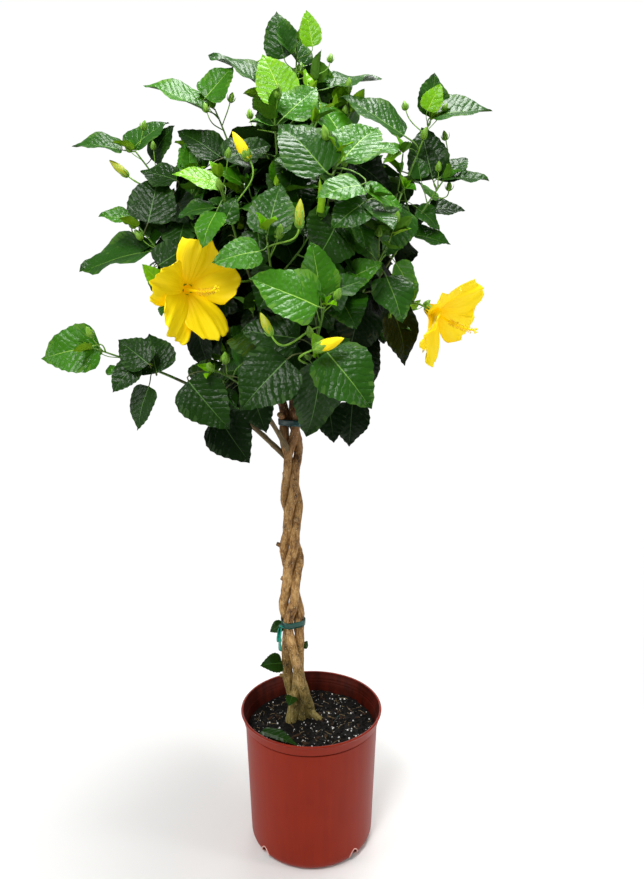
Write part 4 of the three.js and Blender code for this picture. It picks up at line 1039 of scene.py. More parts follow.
def make_potting_mix():
    crumbs = make_mix_body()
    places, draw = scattered(41, CRUMB_COUNT)
    for i, place in enumerate(places):
        size = (1.0 + 2.2 * draw() ** 2) * MM
        crumbs.add(*lump(place + UP * 0.4 * size, (size, size * 0.8, size * 0.6), 900 + i, 0.35, 3, 5))
    piece("potting_mix_fines", crumbs, [PEAT], "potting_mix", ["potting_mix"])

    chips = Heap()
    places, draw = scattered(42, CHIP_COUNT)
    for i, place in enumerate(places):
        length = (2.5 + 7.5 * draw() ** 1.6) * MM
        size = [length, length * 0.45, length * 0.16]
        flake = chip(place + UP * 0.7 * MM, size, 3100 + i, 0.22, 62, 40, draw)
        chips.add(*flake, int(draw() < 0.35))
    piece("bark_chips", chips, [CHIP, PEAT], "potting_mix")

    grains = Heap()
    places, draw = scattered(43, PERLITE_COUNT)
    for i, place in enumerate(places):
        size = (0.6 + 1.5 * draw() ** 3) * MM
        grains.add(*lump(place + UP * 0.6 * size, (size, size * 0.9, size * 0.8), 5200 + i, 0.3, 3, 6))
    piece("perlite_grains", grains, [PERLITE], "potting_mix")

    fibres = Heap()
    places, draw = scattered(44, FIBRE_COUNT)
    for place in places:
        length = (5 + 17 * draw() ** 1.5) * MM
        start = place + UP * 1.4 * MM
        out = heading(360 * draw(), 8 * draw() - 2)
        end = start + out * length
        if math.hypot(end[0], end[1]) > MIX_RADIUS * 0.97:
            continue
        sag = unit(out + heading(360 * draw()) * 0.7)
        line = swept(start, sag, end, out, 6)
        add_tube(fibres, line, np.linspace(0.5, 0.28, len(line)) * MM, 5)
    piece("wood_fibres", fibres, [FIBRE], "potting_mix")


def make_litter():
    """What lies on the mix: a clump of torn bark inside the front rim, a scrap of tape, and
    a fallen leaf."""
    clump = Heap()
    draw = seeded(47)
    for i in range(TORN_BARK_COUNT):
        x, y = mix(-16, 38, draw()) * MM, mix(-104, -88, draw()) * MM
        centre = np.array([x, y, SOIL_TOP + (2 + 7 * draw()) * MM])
        size = np.array([4 + 6 * draw(), 2 + 1.5 * draw(), 1.2]) * MM
        clump.add(*chip(centre, size, 7000 + i, 0.3, 50, 60, draw))
    piece("torn_bark", clump, [CHIP], "potting_mix")
    scrap = Heap()
    share = np.linspace(0, 1, 9)
    line = (np.array([40, -8, 217]) * MM + np.outer(share, np.array([9, 20, 5]) * MM)
            + np.outer(np.sin(share * 6), [0, 0, 2 * MM]))
    add_tube(scrap, line, np.full(9, 2.6 * MM), 8, flat=0.16)
    piece("tape_scrap", scrap, [TAPE_SHADED], "tie_tape")
    along = unit(np.array([75, -46, 3.0]))
    leaves.append({
        "from": None, "root": np.array([-89, -32, 219]) * MM, "along": along,
        "face": square_to(UP, along), "length": 80 * MM, "seed": 5, "tone": "deep",
        "fold": 0.3, "bend": 0.25, "breadth": 0.42, "quilt": 1.0})


# ------------------------------------------------------------------ plaited trunk

def fork_share(height):
    return (height - SOIL_TOP) / (FORK_HEIGHT - SOIL_TOP)


def strand_radius(height):
    rest = 1 - np.minimum(1, fork_share(height))
    return mix(STRAND_RADIUS_FORK, STRAND_RADIUS_FOOT, rest * rest)


def plait_turn(height):
    return 2 * np.pi * (np.minimum(height, PLAIT_END) - PLAIT_WAIST) / PLAIT_PITCH + np.pi / 6


def twisted_point(strand, height):
    """Where a strand's middle lies in the twist, and how that eases into the fork."""
    turn = plait_turn(height)
    own = turn + math.radians(strand["phase"])
    upper = ease((height - FORK_START) / FORK_REACH)
    reach = strand_radius(height) * (1 + SPLAY * np.maximum(0, height - SPLAY_START))
    swing = mix(PLAIT_WIDTH + PLAIT_PINCH * np.cos(3 * turn), FORK_WIDTH, upper)
    depth = PLAIT_DEPTH * mix(np.cos(own), np.sin(2 * own), upper)
    share = fork_share(height)
    return np.stack([
        mix(TRUNK_FOOT[0], TRUNK_FORK[0], share) + reach * swing * np.sin(own),
        mix(TRUNK_FOOT[1], TRUNK_FORK[1], share) - reach * depth], axis=-1)


def strand_point(strand, height):
    """A strand's middle: twisted above the tie, and through its own places below it."""
    height = np.asarray(height, float)
    step = (FREE_TOP - GROUND) / len(strand["feet"])
    places = [twisted_point(strand, np.float64(FREE_TOP + step)),
              twisted_point(strand, np.float64(FREE_TOP)), *(np.array(strand["feet"]) * MM)]
    places = np.array([*places, places[-1] + (places[-1] - places[-2]) / 2])
    reach = np.maximum(0, FREE_TOP - height) / step
    first = np.minimum(len(strand["feet"]) - 1, np.floor(reach)).astype(int)
    t = (reach - first)[..., None]
    p0, p1, p2, p3 = (places[first + i] for i in range(4))
    free = 0.5 * (2 * p1 + (p2 - p0) * t + (2 * p0 - 5 * p1 + 4 * p2 - p3) * t * t
                  + (3 * p1 - p0 - 3 * p2 + p3) * t * t * t)
    across = np.where((height >= FREE_TOP)[..., None], twisted_point(strand, height), free)
    return np.concatenate([across, height[..., None]], axis=-1)


def strand_thickness(strand, height):
    flare = 1 + FLARE_SWELL * np.exp(-np.abs(height - GROUND) / FLARE_REACH)
    swell = mix(BARK_SWELL_FOOT, BARK_SWELL_FORK, np.clip(fork_share(height) * 1.6, 0, 1))
    return strand_radius(height) * strand["thickness"] * flare * swell


def bark_relief(seed, knots, depth):
    """How far bark stands out: long furrows, soft lumps, and the knots."""
    def relief(grain):
        furrow = bumps(grain / np.array([3.4, 3.4, 16]) / MM, seed)
        wrinkle = bumps(grain / np.array([7, 7, 2.4]) / MM, seed + 1)
        soft = bumps(grain / np.array([8, 8, 13]) / MM, seed + 2)
        out = depth * (0.3 * furrow + 0.4 * wrinkle - 0.3 * np.abs(furrow) + 1.3 * soft)
        turn = np.arctan2(grain[..., 1], grain[..., 0])
        for reach, knot_turn, height, spread in knots:
            away = np.abs((turn - knot_turn + np.pi) % (2 * np.pi) - np.pi)
            near = np.exp(-((grain[..., 2] - reach) / spread) ** 2 - (away / 0.55) ** 2)
            pit = np.exp(-((grain[..., 2] - reach) / spread * 2.6) ** 2 - (away / 0.2) ** 2)
            out = out + height * (near - 0.3 * pit)
        return out
    return relief


def random_knots(seed, length, spacing, height):
    """Leaf scars up a limb: each a small bump further round than the last."""
    draw = seeded(seed)
    found, reach, turn = [], spacing * draw(), 6.28 * draw()
    while reach < length:
        found.append((reach, turn, height * (0.5 + draw()), (2.6 + 2 * draw()) * MM))
        reach += spacing * (0.6 + 0.8 * draw())
        turn = (turn + math.radians(LEAF_TURN) + 0.8 * (draw() - 0.5)) % (2 * math.pi)
    return found


def add_toe(heap, strand, bearing, seed):
    """A root that runs out from a strand's foot and dips into the mix."""
    start = strand_point(strand, GROUND + TOE_HEIGHT)
    low = strand_point(strand, GROUND) + heading(bearing) * TOE_SPREAD
    end = low + heading(bearing, -50) * 16 * MM
    toe = swept(start, -UP, end, unit(heading(bearing, -50)), TOE_STEPS)
    swell = TOE_RADIUS * (0.55 + 0.5 * np.sin(np.linspace(0.15, 1, TOE_STEPS) * np.pi * 0.75))
    add_tube(heap, toe, swell, TOE_SIDES, 0, bark_relief(seed, [], 0.8 * MM))


def add_stub(heap, name, height, bearing, length, radius):
    """What is left of a side shoot, with its bare cut end."""
    strand = STRAND_NAMED[name]
    height = height * MM
    out = float(strand_thickness(strand, height)) + length * MM
    reach = np.array([0.2 * out, 0.7 * out, out - 0.8 * MM, out])
    width = np.array([1.5, 1.15, 1.0, 0.84]) * radius * MM
    line = strand_point(strand, height) + heading(bearing, 24) * reach[:, None]
    points, (quads, caps), grain = tube(line, width, STUB_SIDES)
    heap.add_faces(quads)
    heap.add_faces(caps, np.repeat([0, 1], STUB_SIDES))
    heap.add(points, [], grain=grain)


def make_trunk():
    heap = Heap()
    for i, strand in enumerate(STRANDS):
        height = np.arange(GROUND - 9 * MM, strand["top"], STRAND_STEP)
        knots = random_knots(60 + i, height[-1] - height[0], 34 * MM, 1.3 * MM)
        add_tube(heap, strand_point(strand, height), strand_thickness(strand, height),
                 STRAND_SIDES, 0, bark_relief(70 + 5 * i, knots, 0.6 * MM))
        for bearing in strand["toes"]:
            add_toe(heap, strand, bearing, 90 + i)
    for stub in STUBS:
        add_stub(heap, *stub)
    nodes = [f"strand_{strand['name']}" for strand in STRANDS]
    piece("trunk_bark", heap, [BARK, CUT_WOOD], "bark", nodes)


# ------------------------------------------------------------------ ties

def band_outline(height, room):
    """A taut band round the strands: its points as seen from above."""
    spots, radii = [], []
    for strand in STRANDS:
        for share in (-1, -0.5, 0, 0.5, 1):
            level = height + share * TAPE_WIDTH / 2
            spots.append(strand_point(strand, level)[:2])
            radii.append(float(strand_thickness(strand, level)))
    turn = circle(BAND_SIDES)
    direction = around(1.0, turn, 0.0)[:, :2]
    reach = (direction @ np.array(spots).T + np.array(radii)).max(axis=1) + room
    step = 2 * np.pi / BAND_SIDES
    along = (np.roll(reach, -1) - reach * math.cos(step)) / math.sin(step)
    across = np.stack([-np.sin(turn), np.cos(turn)], -1)
    return direction * reach[:, None] + across * along[:, None]


def add_band(heap, height, layer, room, sink):
    """One round of tape, creased lengthwise and not quite level."""
    inner, outer = (band_outline(height, GAP + room + more) for more in (0, TAPE_THICKNESS))
    turn = circle(BAND_SIDES)
    wander = (0.7 * np.sin(turn * 2 + layer) + 0.35 * np.sin(turn * 7 + 2 * layer)) * MM
    levels = height + TAPE_WIDTH * np.array([-0.5, -0.25, 0, 0.25, 0.5]) + sink
    away = unit(outer - outer.mean(axis=0))
    rings = [(outer + away * (0.25 * MM * np.sin(turn * 11 + j))[:, None], level)
             for j, level in enumerate(levels)]
    rings += [(inner, level) for level in levels[::-1]]
    points = np.concatenate([np.column_stack([ring, level + wander]) for ring, level in rings])
    heap.add(points, [ring_quads(len(rings), BAND_SIDES, closed=True)])


def add_knot(heap, seat, out, side):
    """Three loops of tape drawn tight over one another."""
    for i in range(3):
        turn = np.linspace(0, 2 * np.pi, 22)[:, None]
        tilt = unit(side + UP * (0.9 - 0.9 * i) + out * 0.3 * i)
        other = unit(np.cross(out, tilt) * 0.5 + out * 0.75)
        loop = (seat + out * 3.0 * MM
                + (3.6 - 0.4 * i) * MM * (np.cos(turn) * tilt + np.sin(turn) * other))
        add_tube(heap, loop, np.full(len(loop), 1.9 * MM), 8, i % 2)


def add_tail(heap, seat, out, side, i, length):
    """A free end of tape: a thin strip that hangs from the knot and twists a little."""
    share = np.linspace(0, 1, TAIL_STEPS)
    swing = heading(KNOT_BEARING + 30 - 70 * i)
    line = (seat + out * (3.6 + i * 1.8) * MM + np.outer(share * length, -UP)
            + np.outer(np.sin(share * 2.4) * (5 - 2 * i) * MM, swing))
    twist = np.radians(14 + 40 * i + 50 * share * (1 if i else -0.6))
    half = 4.6 * MM * (1 - 0.1 * share + 0.1 * np.sin(9 * share))
    wide = np.outer(np.cos(twist) * half, side) + np.outer(np.sin(twist) * half, out)
    thick = (np.outer(-np.sin(twist), side) + np.outer(np.cos(twist), out)) * 0.35 * MM
    bow = out * 0.6 * MM
    rings = np.stack([line - wide - thick, line + bow - thick, line + wide - thick,
                      line + wide + thick, line + bow + thick, line - wide + thick], 1)
    ends = np.array([[5, 4, 1, 0], [4, 3, 2, 1]])
    last = (TAIL_STEPS - 1) * 6
    heap.add(rings, [ring_quads(TAIL_STEPS, 6), ends, ends[:, ::-1] + last], 1)


def make_tie(name, height, material, replaced, knotted):
    heap = Heap()
    for layer, (room, sink) in enumerate([(0.2 * MM, 0.0), (1.3 * MM, 1.2 * MM)]):
        add_band(heap, height, layer, room, sink)
    if knotted:
        out, side = heading(KNOT_BEARING), heading(KNOT_BEARING + 90)
        band = band_outline(height, GAP + 1.2 * MM)
        seat = np.array([*band[(band @ out[:2]).argmax()], height])
        add_knot(heap, seat, out, side)
        for i, length in enumerate(TAIL_LENGTHS):
            add_tail(heap, seat, out, side, i, length)
    piece(name, heap, [material, TAPE_BRIGHT], "tie_tape", [replaced])


# ------------------------------------------------------------------ limbs

FORK = np.array([TRUNK_FORK[0], TRUNK_FORK[1], FORK_HEIGHT])
HEAD = FORK + np.array([0, 0, 200 * MM])


def from_fork(bearing, out, up):
    return heading(bearing) * out * MM + FORK + UP * up * MM


def strand_for(bearing):
    """The strand whose top lies nearest to a bearing."""
    def away(strand):
        top = strand_point(strand, strand["top"]) - FORK
        own = math.degrees(math.atan2(top[1], top[0]))
        return abs((own - bearing + 540) % 360 - 180)
    return min(STRANDS, key=away)


def limb_root(limb):
    """Where a limb starts: limbs on one strand leave it in turn, the lowest first."""
    strand = strand_for(limb.bearing)
    if limb.root is not None:
        return strand_point(strand, limb.root * MM)
    mates = sorted((mate for mate in LIMBS
                    if strand_for(mate.bearing) is strand and mate.root is None),
                   key=lambda mate: mate.up)
    share = (mates.index(limb) + 0.5) / len(mates)
    low, high = LIMB_ROOTS
    return strand_point(strand, mix(low, min(high, strand["top"] - 4 * MM), share))


def limb_curve(limb):
    start, end = limb_root(limb), from_fork(limb.bearing, limb.out, limb.up)
    level = end - start
    bearing = math.degrees(math.atan2(level[1], level[0]))
    steep = max(LIMB_START, math.degrees(math.atan2(level[2], math.hypot(level[0], level[1]))))
    return run(start, heading(bearing, steep), end, heading(limb.bearing, limb.climb))


CURVES = {limb.name: limb_curve(limb) for limb in LIMBS}


def limb_radius(share):
    return np.where(share < BOUGH_SHARE,
                    mix(BOUGH_ROOT_RADIUS, BOUGH_TIP_RADIUS, share / BOUGH_SHARE),
                    mix(BOUGH_TIP_RADIUS, STEM_TIP_RADIUS,
                        (share - BOUGH_SHARE) / (1 - BOUGH_SHARE)))


def make_boughs():
    heap = Heap()
    for i, limb in enumerate(LIMBS):
        share = np.linspace(0, BOUGH_SHARE + 0.01, 46)
        line = on_curve(CURVES[limb.name], share)
        knots = random_knots(200 + i, 0.3, 24 * MM, 0.8 * MM)
        add_tube(heap, line, limb_radius(share), 16, 0, bark_relief(220 + i, knots, 0.3 * MM))
    piece("bough_bark", heap, [YOUNG_WOOD], "bark", [f"bough_{name}" for name in LIMB_NAMES])


# ------------------------------------------------------------------ leaves

LEAF_ROWS = 17
UPPER_COLUMNS = np.array([-1, -0.7, -0.36, -0.022, 0.022, 0.36, 0.7, 1])
UNDER_COLUMNS = np.array([-0.7, -0.36, 0, 0.36, 0.7])


def blade_half_width(share):
    """An egg-shaped blade's half width, as a share of its greatest half width."""
    share = np.clip(share, 0, 1)
    return 2.92 * share ** 0.55 * (1 - share) ** 1.15


def blade_faces():
    """The faces of one blade: upper side, midrib strip and underside share its rim."""
    rows, upper, under = LEAF_ROWS - 1, len(UPPER_COLUMNS), len(UNDER_COLUMNS)
    top = np.arange(rows * upper).reshape(rows, upper)
    inner = rows * upper + np.arange(rows * under).reshape(rows, under)
    bottom = np.concatenate([top[:, :1], inner, top[:, -1:]], axis=1)
    base, tip = rows * (upper + under), rows * (upper + under) + 1
    rib = upper // 2 - 1

    def sheet(grid, flip):
        quads = grid_quads(grid)
        low = np.stack([np.full(grid.shape[1] - 1, base), grid[0, 1:], grid[0, :-1]], -1)
        high = np.stack([np.full(grid.shape[1] - 1, tip), grid[-1, :-1], grid[-1, 1:]], -1)
        if flip:
            return quads[..., ::-1], low[:, ::-1], high[:, ::-1]
        return quads, low, high
    quads, low, high = sheet(top, False)
    shade = np.zeros(quads.shape[:2], int)
    shade[:, rib] = 2
    end_shade = np.zeros(upper - 1, int)
    end_shade[rib] = 2
    under_quads, under_low, under_high = sheet(bottom, True)
    four = np.concatenate([quads.reshape(-1, 4), under_quads.reshape(-1, 4)])
    four_shade = np.concatenate([shade.ravel(), np.full(under_quads[..., 0].size, 1)])
    three = np.concatenate([low, high, under_low, under_high])
    three_shade = np.concatenate([end_shade, end_shade, np.full(2 * len(under_low), 1)])
    return four, three, four_shade, three_shade


BLADE_FACES = blade_faces()
BLADE_RIM = np.concatenate([
    np.arange(LEAF_ROWS - 1) * len(UPPER_COLUMNS),
    np.arange(LEAF_ROWS - 1) * len(UPPER_COLUMNS) + len(UPPER_COLUMNS) - 1,
    (LEAF_ROWS - 1) * (len(UPPER_COLUMNS) + len(UNDER_COLUMNS)) + np.arange(2)])
# A stalk's radius from the shoot to the blade, as shares of the blade's length
STALK_THICKNESS = np.array([0.019, 0.014, 0.0125, 0.012, 0.0118, 0.0118, 0.012])
TOOTH = 0.017
TOOTH_START = 0.16


def curled(side, forward, lift, bend, twist, lean):
    """A blade's points once it is leaned, twisted round its midrib and bent back."""
    side = side + lean * forward ** 2
    angle = twist * (forward - 0.3)
    swung = side * np.cos(angle) - lift * np.sin(angle)
    raised = side * np.sin(angle) + lift * np.cos(angle)
    curl = np.maximum(bend * forward * (0.7 + 0.3 * forward), 1e-4)
    return np.stack([swung, forward * np.sin(curl) / curl + raised * np.sin(curl),
                     raised * np.cos(curl) - forward * (1 - np.cos(curl)) / curl], -1)


def laid_out(leaf, shares):
    """Where points of a leaf's blade are in the head, from shares of its length sideways,
    forward and up."""
    across = np.cross(leaf["along"], leaf["face"])
    return leaf["root"] + leaf["length"] * (
        shares[:, :1] * across + shares[:, 1:2] * leaf["along"] + shares[:, 2:] * leaf["face"])


def blade_points(leaf):
    """One leaf's blade, bent, folded, puckered and toothed, as a closed thin mesh, and each
    point's place on the flat blade, which the pattern of its veins follows."""
    draw = seeded(leaf["seed"])
    broad = mix(0.37, 0.45, draw()) * leaf["breadth"]
    fold = leaf["fold"] * (0.6 + 0.7 * draw())
    bend = leaf["bend"] * (0.6 + 0.8 * draw())
    wave = (0.015 + 0.035 * draw()) * leaf["breadth"]
    phase = [6.28 * draw() for _ in range(4)]
    twist = math.radians(30 * (draw() - 0.5))
    lean = 0.12 * (draw() - 0.5)
    row = np.arange(1, LEAF_ROWS)
    share = row / LEAF_ROWS
    edge = share - 0.05 * np.sin(np.pi * np.clip(share / 0.24, 0, 1))
    midrib = np.maximum((np.maximum(share - 0.3, 0) / 0.7) ** 1.1, 0.012 * row)
    half = broad * blade_half_width(share)
    tooth = np.where((row % 2 == 1) & (share > TOOTH_START), TOOTH * leaf["breadth"], 0)

    def sheet(columns, drop):
        size, sign = np.abs(columns), np.sign(columns)
        at_rim = size == 1
        forward = midrib[:, None] + (edge - midrib)[:, None] * size ** 1.15
        forward = forward + 0.35 * tooth[:, None] * at_rim
        side = sign * (size * half[:, None] + tooth[:, None] * at_rim)
        pattern = np.stack(np.broadcast_arrays(row[:, None] * 0.83, columns[None] * 2.4 + 9,
                                               np.float64(leaf["seed"] % 97)), -1)
        pucker = np.interp(size, [0, 0.02, 0.36, 0.7, 1], [0.1, 0.15, 1, 0.85, 0.2])
        swell = np.where(row[:, None] % 2 == 1, -0.3, 0.8 + 0.5 * bumps(pattern, leaf["seed"] % 31))
        across = np.abs(side)
        lift = 0.011 * leaf["quilt"] * pucker * swell
        lift = lift + fold * across * (1 - 0.3 * across / broad)
        lift = lift + wave * size ** 2.5 * np.sin(
            2 * np.pi * forward * 1.7 + phase[0] + sign * phase[1])
        lift = lift + 0.02 * forward * np.sin(2 * np.pi * forward + phase[2])
        lift = lift - 0.004 * (size < 0.03) - drop * (1 + 1.5 * (size < 0.01))
        place = np.stack([side, forward, np.full_like(side, leaf["seed"] % 53)], -1)
        bent = curled(side, forward, lift, bend, twist, lean)
        return bent.reshape(-1, 3), place.reshape(-1, 3)
    upper, upper_place = sheet(UPPER_COLUMNS, 0.0)
    under, under_place = sheet(UNDER_COLUMNS, 0.0045)
    tip = [lean, math.sin(bend) / bend, -(1 - math.cos(bend)) / bend]
    shares = np.concatenate([upper, under, [[0, 0, 0], tip]])
    place = np.concatenate([upper_place, under_place, [[0, 0, 0], [0, 1, 0]]])
    return laid_out(leaf, shares), place * leaf["length"]


LEAVES_TO_A_PIECE = 400
LEAF_HEAPS = {tone: [Heap()] for tone in LEAF_TONES}
stalk_heap, shoot_heap = Heap(), Heap()


def add_leaf(leaf):
    """Adds a placed leaf's blade to its tone's heap, and its stalk."""
    points, place = blade_points(leaf)
    four, three, four_shade, three_shade = BLADE_FACES
    heaps = LEAF_HEAPS[leaf["tone"]]
    if heaps[-1].count >= LEAVES_TO_A_PIECE * len(points):
        heaps.append(Heap())
    heap = heaps[-1]
    heap.rims.append(BLADE_RIM + heap.count)
    heap.add_faces(three, three_shade)
    heap.add(points, [four], four_shade, place)
    if leaf["from"] is None:
        return
    start, leave = leaf["from"]
    end = leaf["root"] + leaf["along"] * 1.2 * MM
    line = swept(start, leave, end, leaf["along"], len(STALK_THICKNESS))
    extra = max(0.0, np.linalg.norm(leaf["root"] - start) / leaf["length"] - 0.6)
    thick = STALK_THICKNESS + 0.006 * extra * np.linspace(1, 0, len(line))
    # stalks of deep and shade leaves take the darker browning finish: browned with age, and painted
    # shade for leaves in the head's shadow
    browned_and_shaded = int(leaf["tone"] in ("deep", "shade"))
    add_tube(stalk_heap, line, leaf["length"] * thick, 5, browned_and_shaded)


# Spots spread over a blade's outline and middle, as (side, forward) shares, to test whether
# two leaves would cross
TEST_SHARES = np.array([0.1, 0.3, 0.5, 0.72, 0.9])
TEST_SPOTS = np.concatenate([
    np.stack([side * 0.8 * blade_half_width(TEST_SHARES), TEST_SHARES], -1) for side in (-1, 0, 1)]
    + [np.array([[0, 0.02], [0, 0.98]])])
TEST_BREADTH = 0.38

MOST_LEAVES = 2400
LEAF_SHAPE = {"root": (3,), "along": (3,), "face": (3,), "length": (), "fold": (), "bend": ()}
placed = {key: np.zeros((MOST_LEAVES, *size)) for key, size in LEAF_SHAPE.items()}
placed["spots"] = np.zeros((MOST_LEAVES, len(TEST_SPOTS), 3))
leaf_count = 0
leaves = []


def spot_places(leaf):
    """Where a leaf's test spots are in the head."""
    side, forward = TEST_SPOTS[:, 0] * TEST_BREADTH, TEST_SPOTS[:, 1]
    lift = leaf["fold"] * np.abs(side) - 0.5 * leaf["bend"] * forward ** 2
    return laid_out(leaf, np.stack([side, forward, lift], -1))


def leaf_holds(root, along, face, length, fold, bend, spots, room):
    """Whether each spot lies within each leaf's blade.  All but spots hold one row a leaf;
    spots holds its own row of spots for each leaf, or one for all."""
    offset = spots - root[:, None]
    forward = np.einsum("lsk,lk->ls", offset, along) / length[:, None]
    lift = np.einsum("lsk,lk->ls", offset, face) / length[:, None]
    square = np.einsum("lsk,lsk->ls", offset, offset) / length[:, None] ** 2
    side = np.sqrt(np.maximum(0, square - forward ** 2 - lift ** 2))
    width = TEST_BREADTH * blade_half_width(forward)
    curved = fold[:, None] * side - 0.5 * bend[:, None] * forward ** 2
    near = room / length[:, None]
    return ((np.abs(lift - curved) < near) & (side < width) & (forward > 0) & (forward < 1))


def one(leaf):
    return [np.array([leaf[key]]) for key in LEAF_SHAPE]


def crosses_leaves(leaf, spots):
    roots = placed["root"][:leaf_count]
    reach = leaf["length"] + placed["length"][:leaf_count]
    near = np.nonzero(np.linalg.norm(roots - leaf["root"], axis=1) < reach)[0]
    if len(near) == 0:
        return False
    mates = [placed[key][near] for key in LEAF_SHAPE]
    if leaf_holds(*mates, spots[None], LEAF_CLEARANCE).any():
        return True
    theirs = placed["spots"][near].reshape(-1, 3)
    return leaf_holds(*one(leaf), theirs[None], LEAF_CLEARANCE).any()


def wood_spots():
    """Spots along every limb, and its radius there, to keep leaves off it."""
    places, radii = [], []
    for strand in STRANDS:
        height = np.arange(WOOD_START, strand["top"], 5 * MM)
        places.append(strand_point(strand, height))
        radii.append(strand_thickness(strand, height))
    for curve in CURVES.values():
        share = np.linspace(0.02, 1, 70)
        places.append(on_curve(curve, share))
        radii.append(limb_radius(share))
    return np.concatenate(places), np.concatenate(radii)


WOOD_PLACES, WOOD_RADII = wood_spots()
keep_outs = []  # (middle, radius) of the room that flowers and buds need


def spines():
    """Each limb's outer run, drawn on past its tip: the middle of its own space."""
    found = []
    for curve in CURVES.values():
        line = on_curve(curve, np.linspace(SPINE_START, 1, 6))
        tip = line[-1] + curve_heading(curve, 1.0) * SPINE_OVERHANG
        found.append(np.vstack([line, tip]))
    return np.array(found)


SPINES = spines()


def spine_distances(point):
    start, end = SPINES[:, :-1], SPINES[:, 1:]
    step = end - start
    share = np.einsum("abk,abk->ab", point - start, step) / np.einsum("abk,abk->ab", step, step)
    foot = start + np.clip(share, 0, 1)[..., None] * step
    return np.linalg.norm(point - foot, axis=-1).min(axis=1)


def owns(limb, point, overrun):
    away = spine_distances(point)
    return away[limb] - 2 * overrun < away.min()


BOX_LOW = np.array(cad_box[0]) - BOX_ROOM
BOX_HIGH = np.array(cad_box[1]) + BOX_ROOM
OUTLINE_BEARINGS, OUTLINE_REACHES = np.array(CROWN_OUTLINE, float).T


def in_crown(spots, room=0.0):
    """Whether spots lie in the head: inside its outline, which narrows to front and back."""
    depth = spots[..., 1] - FORK[1]
    narrowed = np.sqrt(np.clip(1 - (depth / CROWN_DEPTH) ** 2, 0.05, 1))
    across = (spots[..., 0] - CROWN_MIDDLE[0]) / narrowed
    up = (spots[..., 2] - FORK[2] - CROWN_MIDDLE[1]) / narrowed
    bearing = np.degrees(np.arctan2(up, across))
    reach = np.interp(bearing, OUTLINE_BEARINGS, OUTLINE_REACHES) * MM
    return np.hypot(across, up) < reach - room


shown = []  # spots on the named leaves, flowers and buds, which others don't hide


def on_view(spots):
    """Where spots are seen from the front: across, up, and how far off."""
    ray = spots - CAMERA_PLACE
    return np.stack([ray[..., 0] / ray[..., 1], ray[..., 2] / ray[..., 1], ray[..., 1]], -1)


def hides(spots, allowed):
    """Whether more than the allowed share of the spots stand in front of something shown."""
    if not shown:
        return False
    mine, theirs = on_view(spots), on_view(np.concatenate(shown))
    near = np.hypot(*(mine[:, None, :2] - theirs[None, :, :2]).transpose(2, 0, 1))
    before = (near < VIEW_CLEARANCE / theirs[None, :, 2]) & (mine[:, None, 2] < theirs[None, :, 2])
    return before.any(axis=1).mean() > allowed


def kept_out(spots):
    """Whether any spot is in the room that a flower or bud needs."""
    return any((np.linalg.norm(spots - middle, axis=1) < radius).any()
               for middle, radius in keep_outs)


def leaf_fits(limb, leaf):
    """Keeps a leaf if it lies in its own space, hides nothing shown and crosses nothing."""
    spots = spot_places(leaf)
    if (spots < BOX_LOW).any() or (spots > BOX_HIGH).any():
        return False
    if not owns(limb, spots.mean(axis=0), OVERRUN):
        return False
    if not in_crown(spots).all() or hides(spots, 0.12) or kept_out(spots):
        return False
    away = np.linalg.norm(WOOD_PLACES - leaf["root"], axis=1)
    wood = WOOD_PLACES[(away < leaf["length"] + 10 * MM) & (away > 6 * MM)]
    if len(wood) and leaf_holds(*one(leaf), wood[None], LIMB_CLEARANCE).any():
        return False
    if crosses_leaves(leaf, spots):
        return False
    keep_leaf(leaf, spots)
    return True


def keep_leaf(leaf, spots):
    global leaf_count
    i = leaf_count
    for key in LEAF_SHAPE:
        placed[key][i] = leaf[key]
    placed["spots"][i] = spots
    leaf_count += 1
    leaves.append(leaf)


def leaf_tone(age, inner, draw):
    """Young leaves are bright, and those deep in the head get painted shade, down to nearly black."""
    if inner > 0.42:
        return "shade"
    score = age + 1.3 * (draw() - 0.5) + 4.2 * inner
    for limit, tone in ((0.2, "lime"), (1.5, "fresh"), (3.2, "green"), (5.2, "deep")):
        if score < limit:
            return tone
    return "shade"


def for_age(table, age):
    """What a table says of a leaf of some age; older leaves share its last entry."""
    return table[min(age, len(table) - 1)]


def leaf_at(shoot_node, age, turn, scale, draw):
    """A leaf at its node, by the spread and size for its age; its face turns part of the
    way from the shoot's tip to the light outside the head, and its blade hangs with age."""
    spread, hang = math.radians(for_age(LEAF_SPREADS, age)), for_age(LEAF_HANGS, age)
    at, stem, side = shoot_node
    out = turned(side, stem, turn)
    stalk = unit(stem * math.cos(spread) + out * math.sin(spread) - UP * 0.09 * min(age, 4))
    outward = unit(at - HEAD)
    light = unit(outward + UP * 0.8)
    along = unit(stalk + outward * 0.3 * hang - UP * hang)
    face = stem * math.sin(spread) - out * math.cos(spread) + light * 1.25
    size = for_age(LEAF_AGES, age) * scale * LEAF_LENGTH
    stalk_length = STALK_SHARE * size * (0.8 + 0.5 * draw())
    return {
        "from": (at, stalk), "root": at + stalk * stalk_length, "along": along,
        "face": square_to(face, along), "length": (1 - STALK_SHARE) * size,
        "seed": int(draw() * 1e6), **for_age(LEAF_FORMS, age)}


def line_nodes(line, spacing, first, side, from_share=0.0):
    """Places along a line where leaves stand, counted back from its tip."""
    steps = np.linalg.norm(np.diff(line, axis=0), axis=1)
    reach = np.concatenate([[0], np.cumsum(steps)])
    found, left = [], reach[-1] - first
    while left > reach[-1] * from_share:
        i = min(np.searchsorted(reach, left, side="right") - 1, len(steps) - 1)
        along = unit(line[i + 1] - line[i])
        found.append((line[i] + along * (left - reach[i]), along, square_to(side, along)))
        left -= spacing
    return found


def try_leaf(limb, shoot_node, age, turn, scale, draw):
    inner = 1 - np.clip(np.linalg.norm(shoot_node[0] - HEAD) / (230 * MM), 0, 1)
    for shrink, shift in LEAF_TRIES:
        leaf = leaf_at(shoot_node, age, turn + shift, scale * shrink, draw)
        if leaf_fits(limb, leaf):
            leaf["tone"] = leaf_tone(age, inner, draw)
            return True
    return False


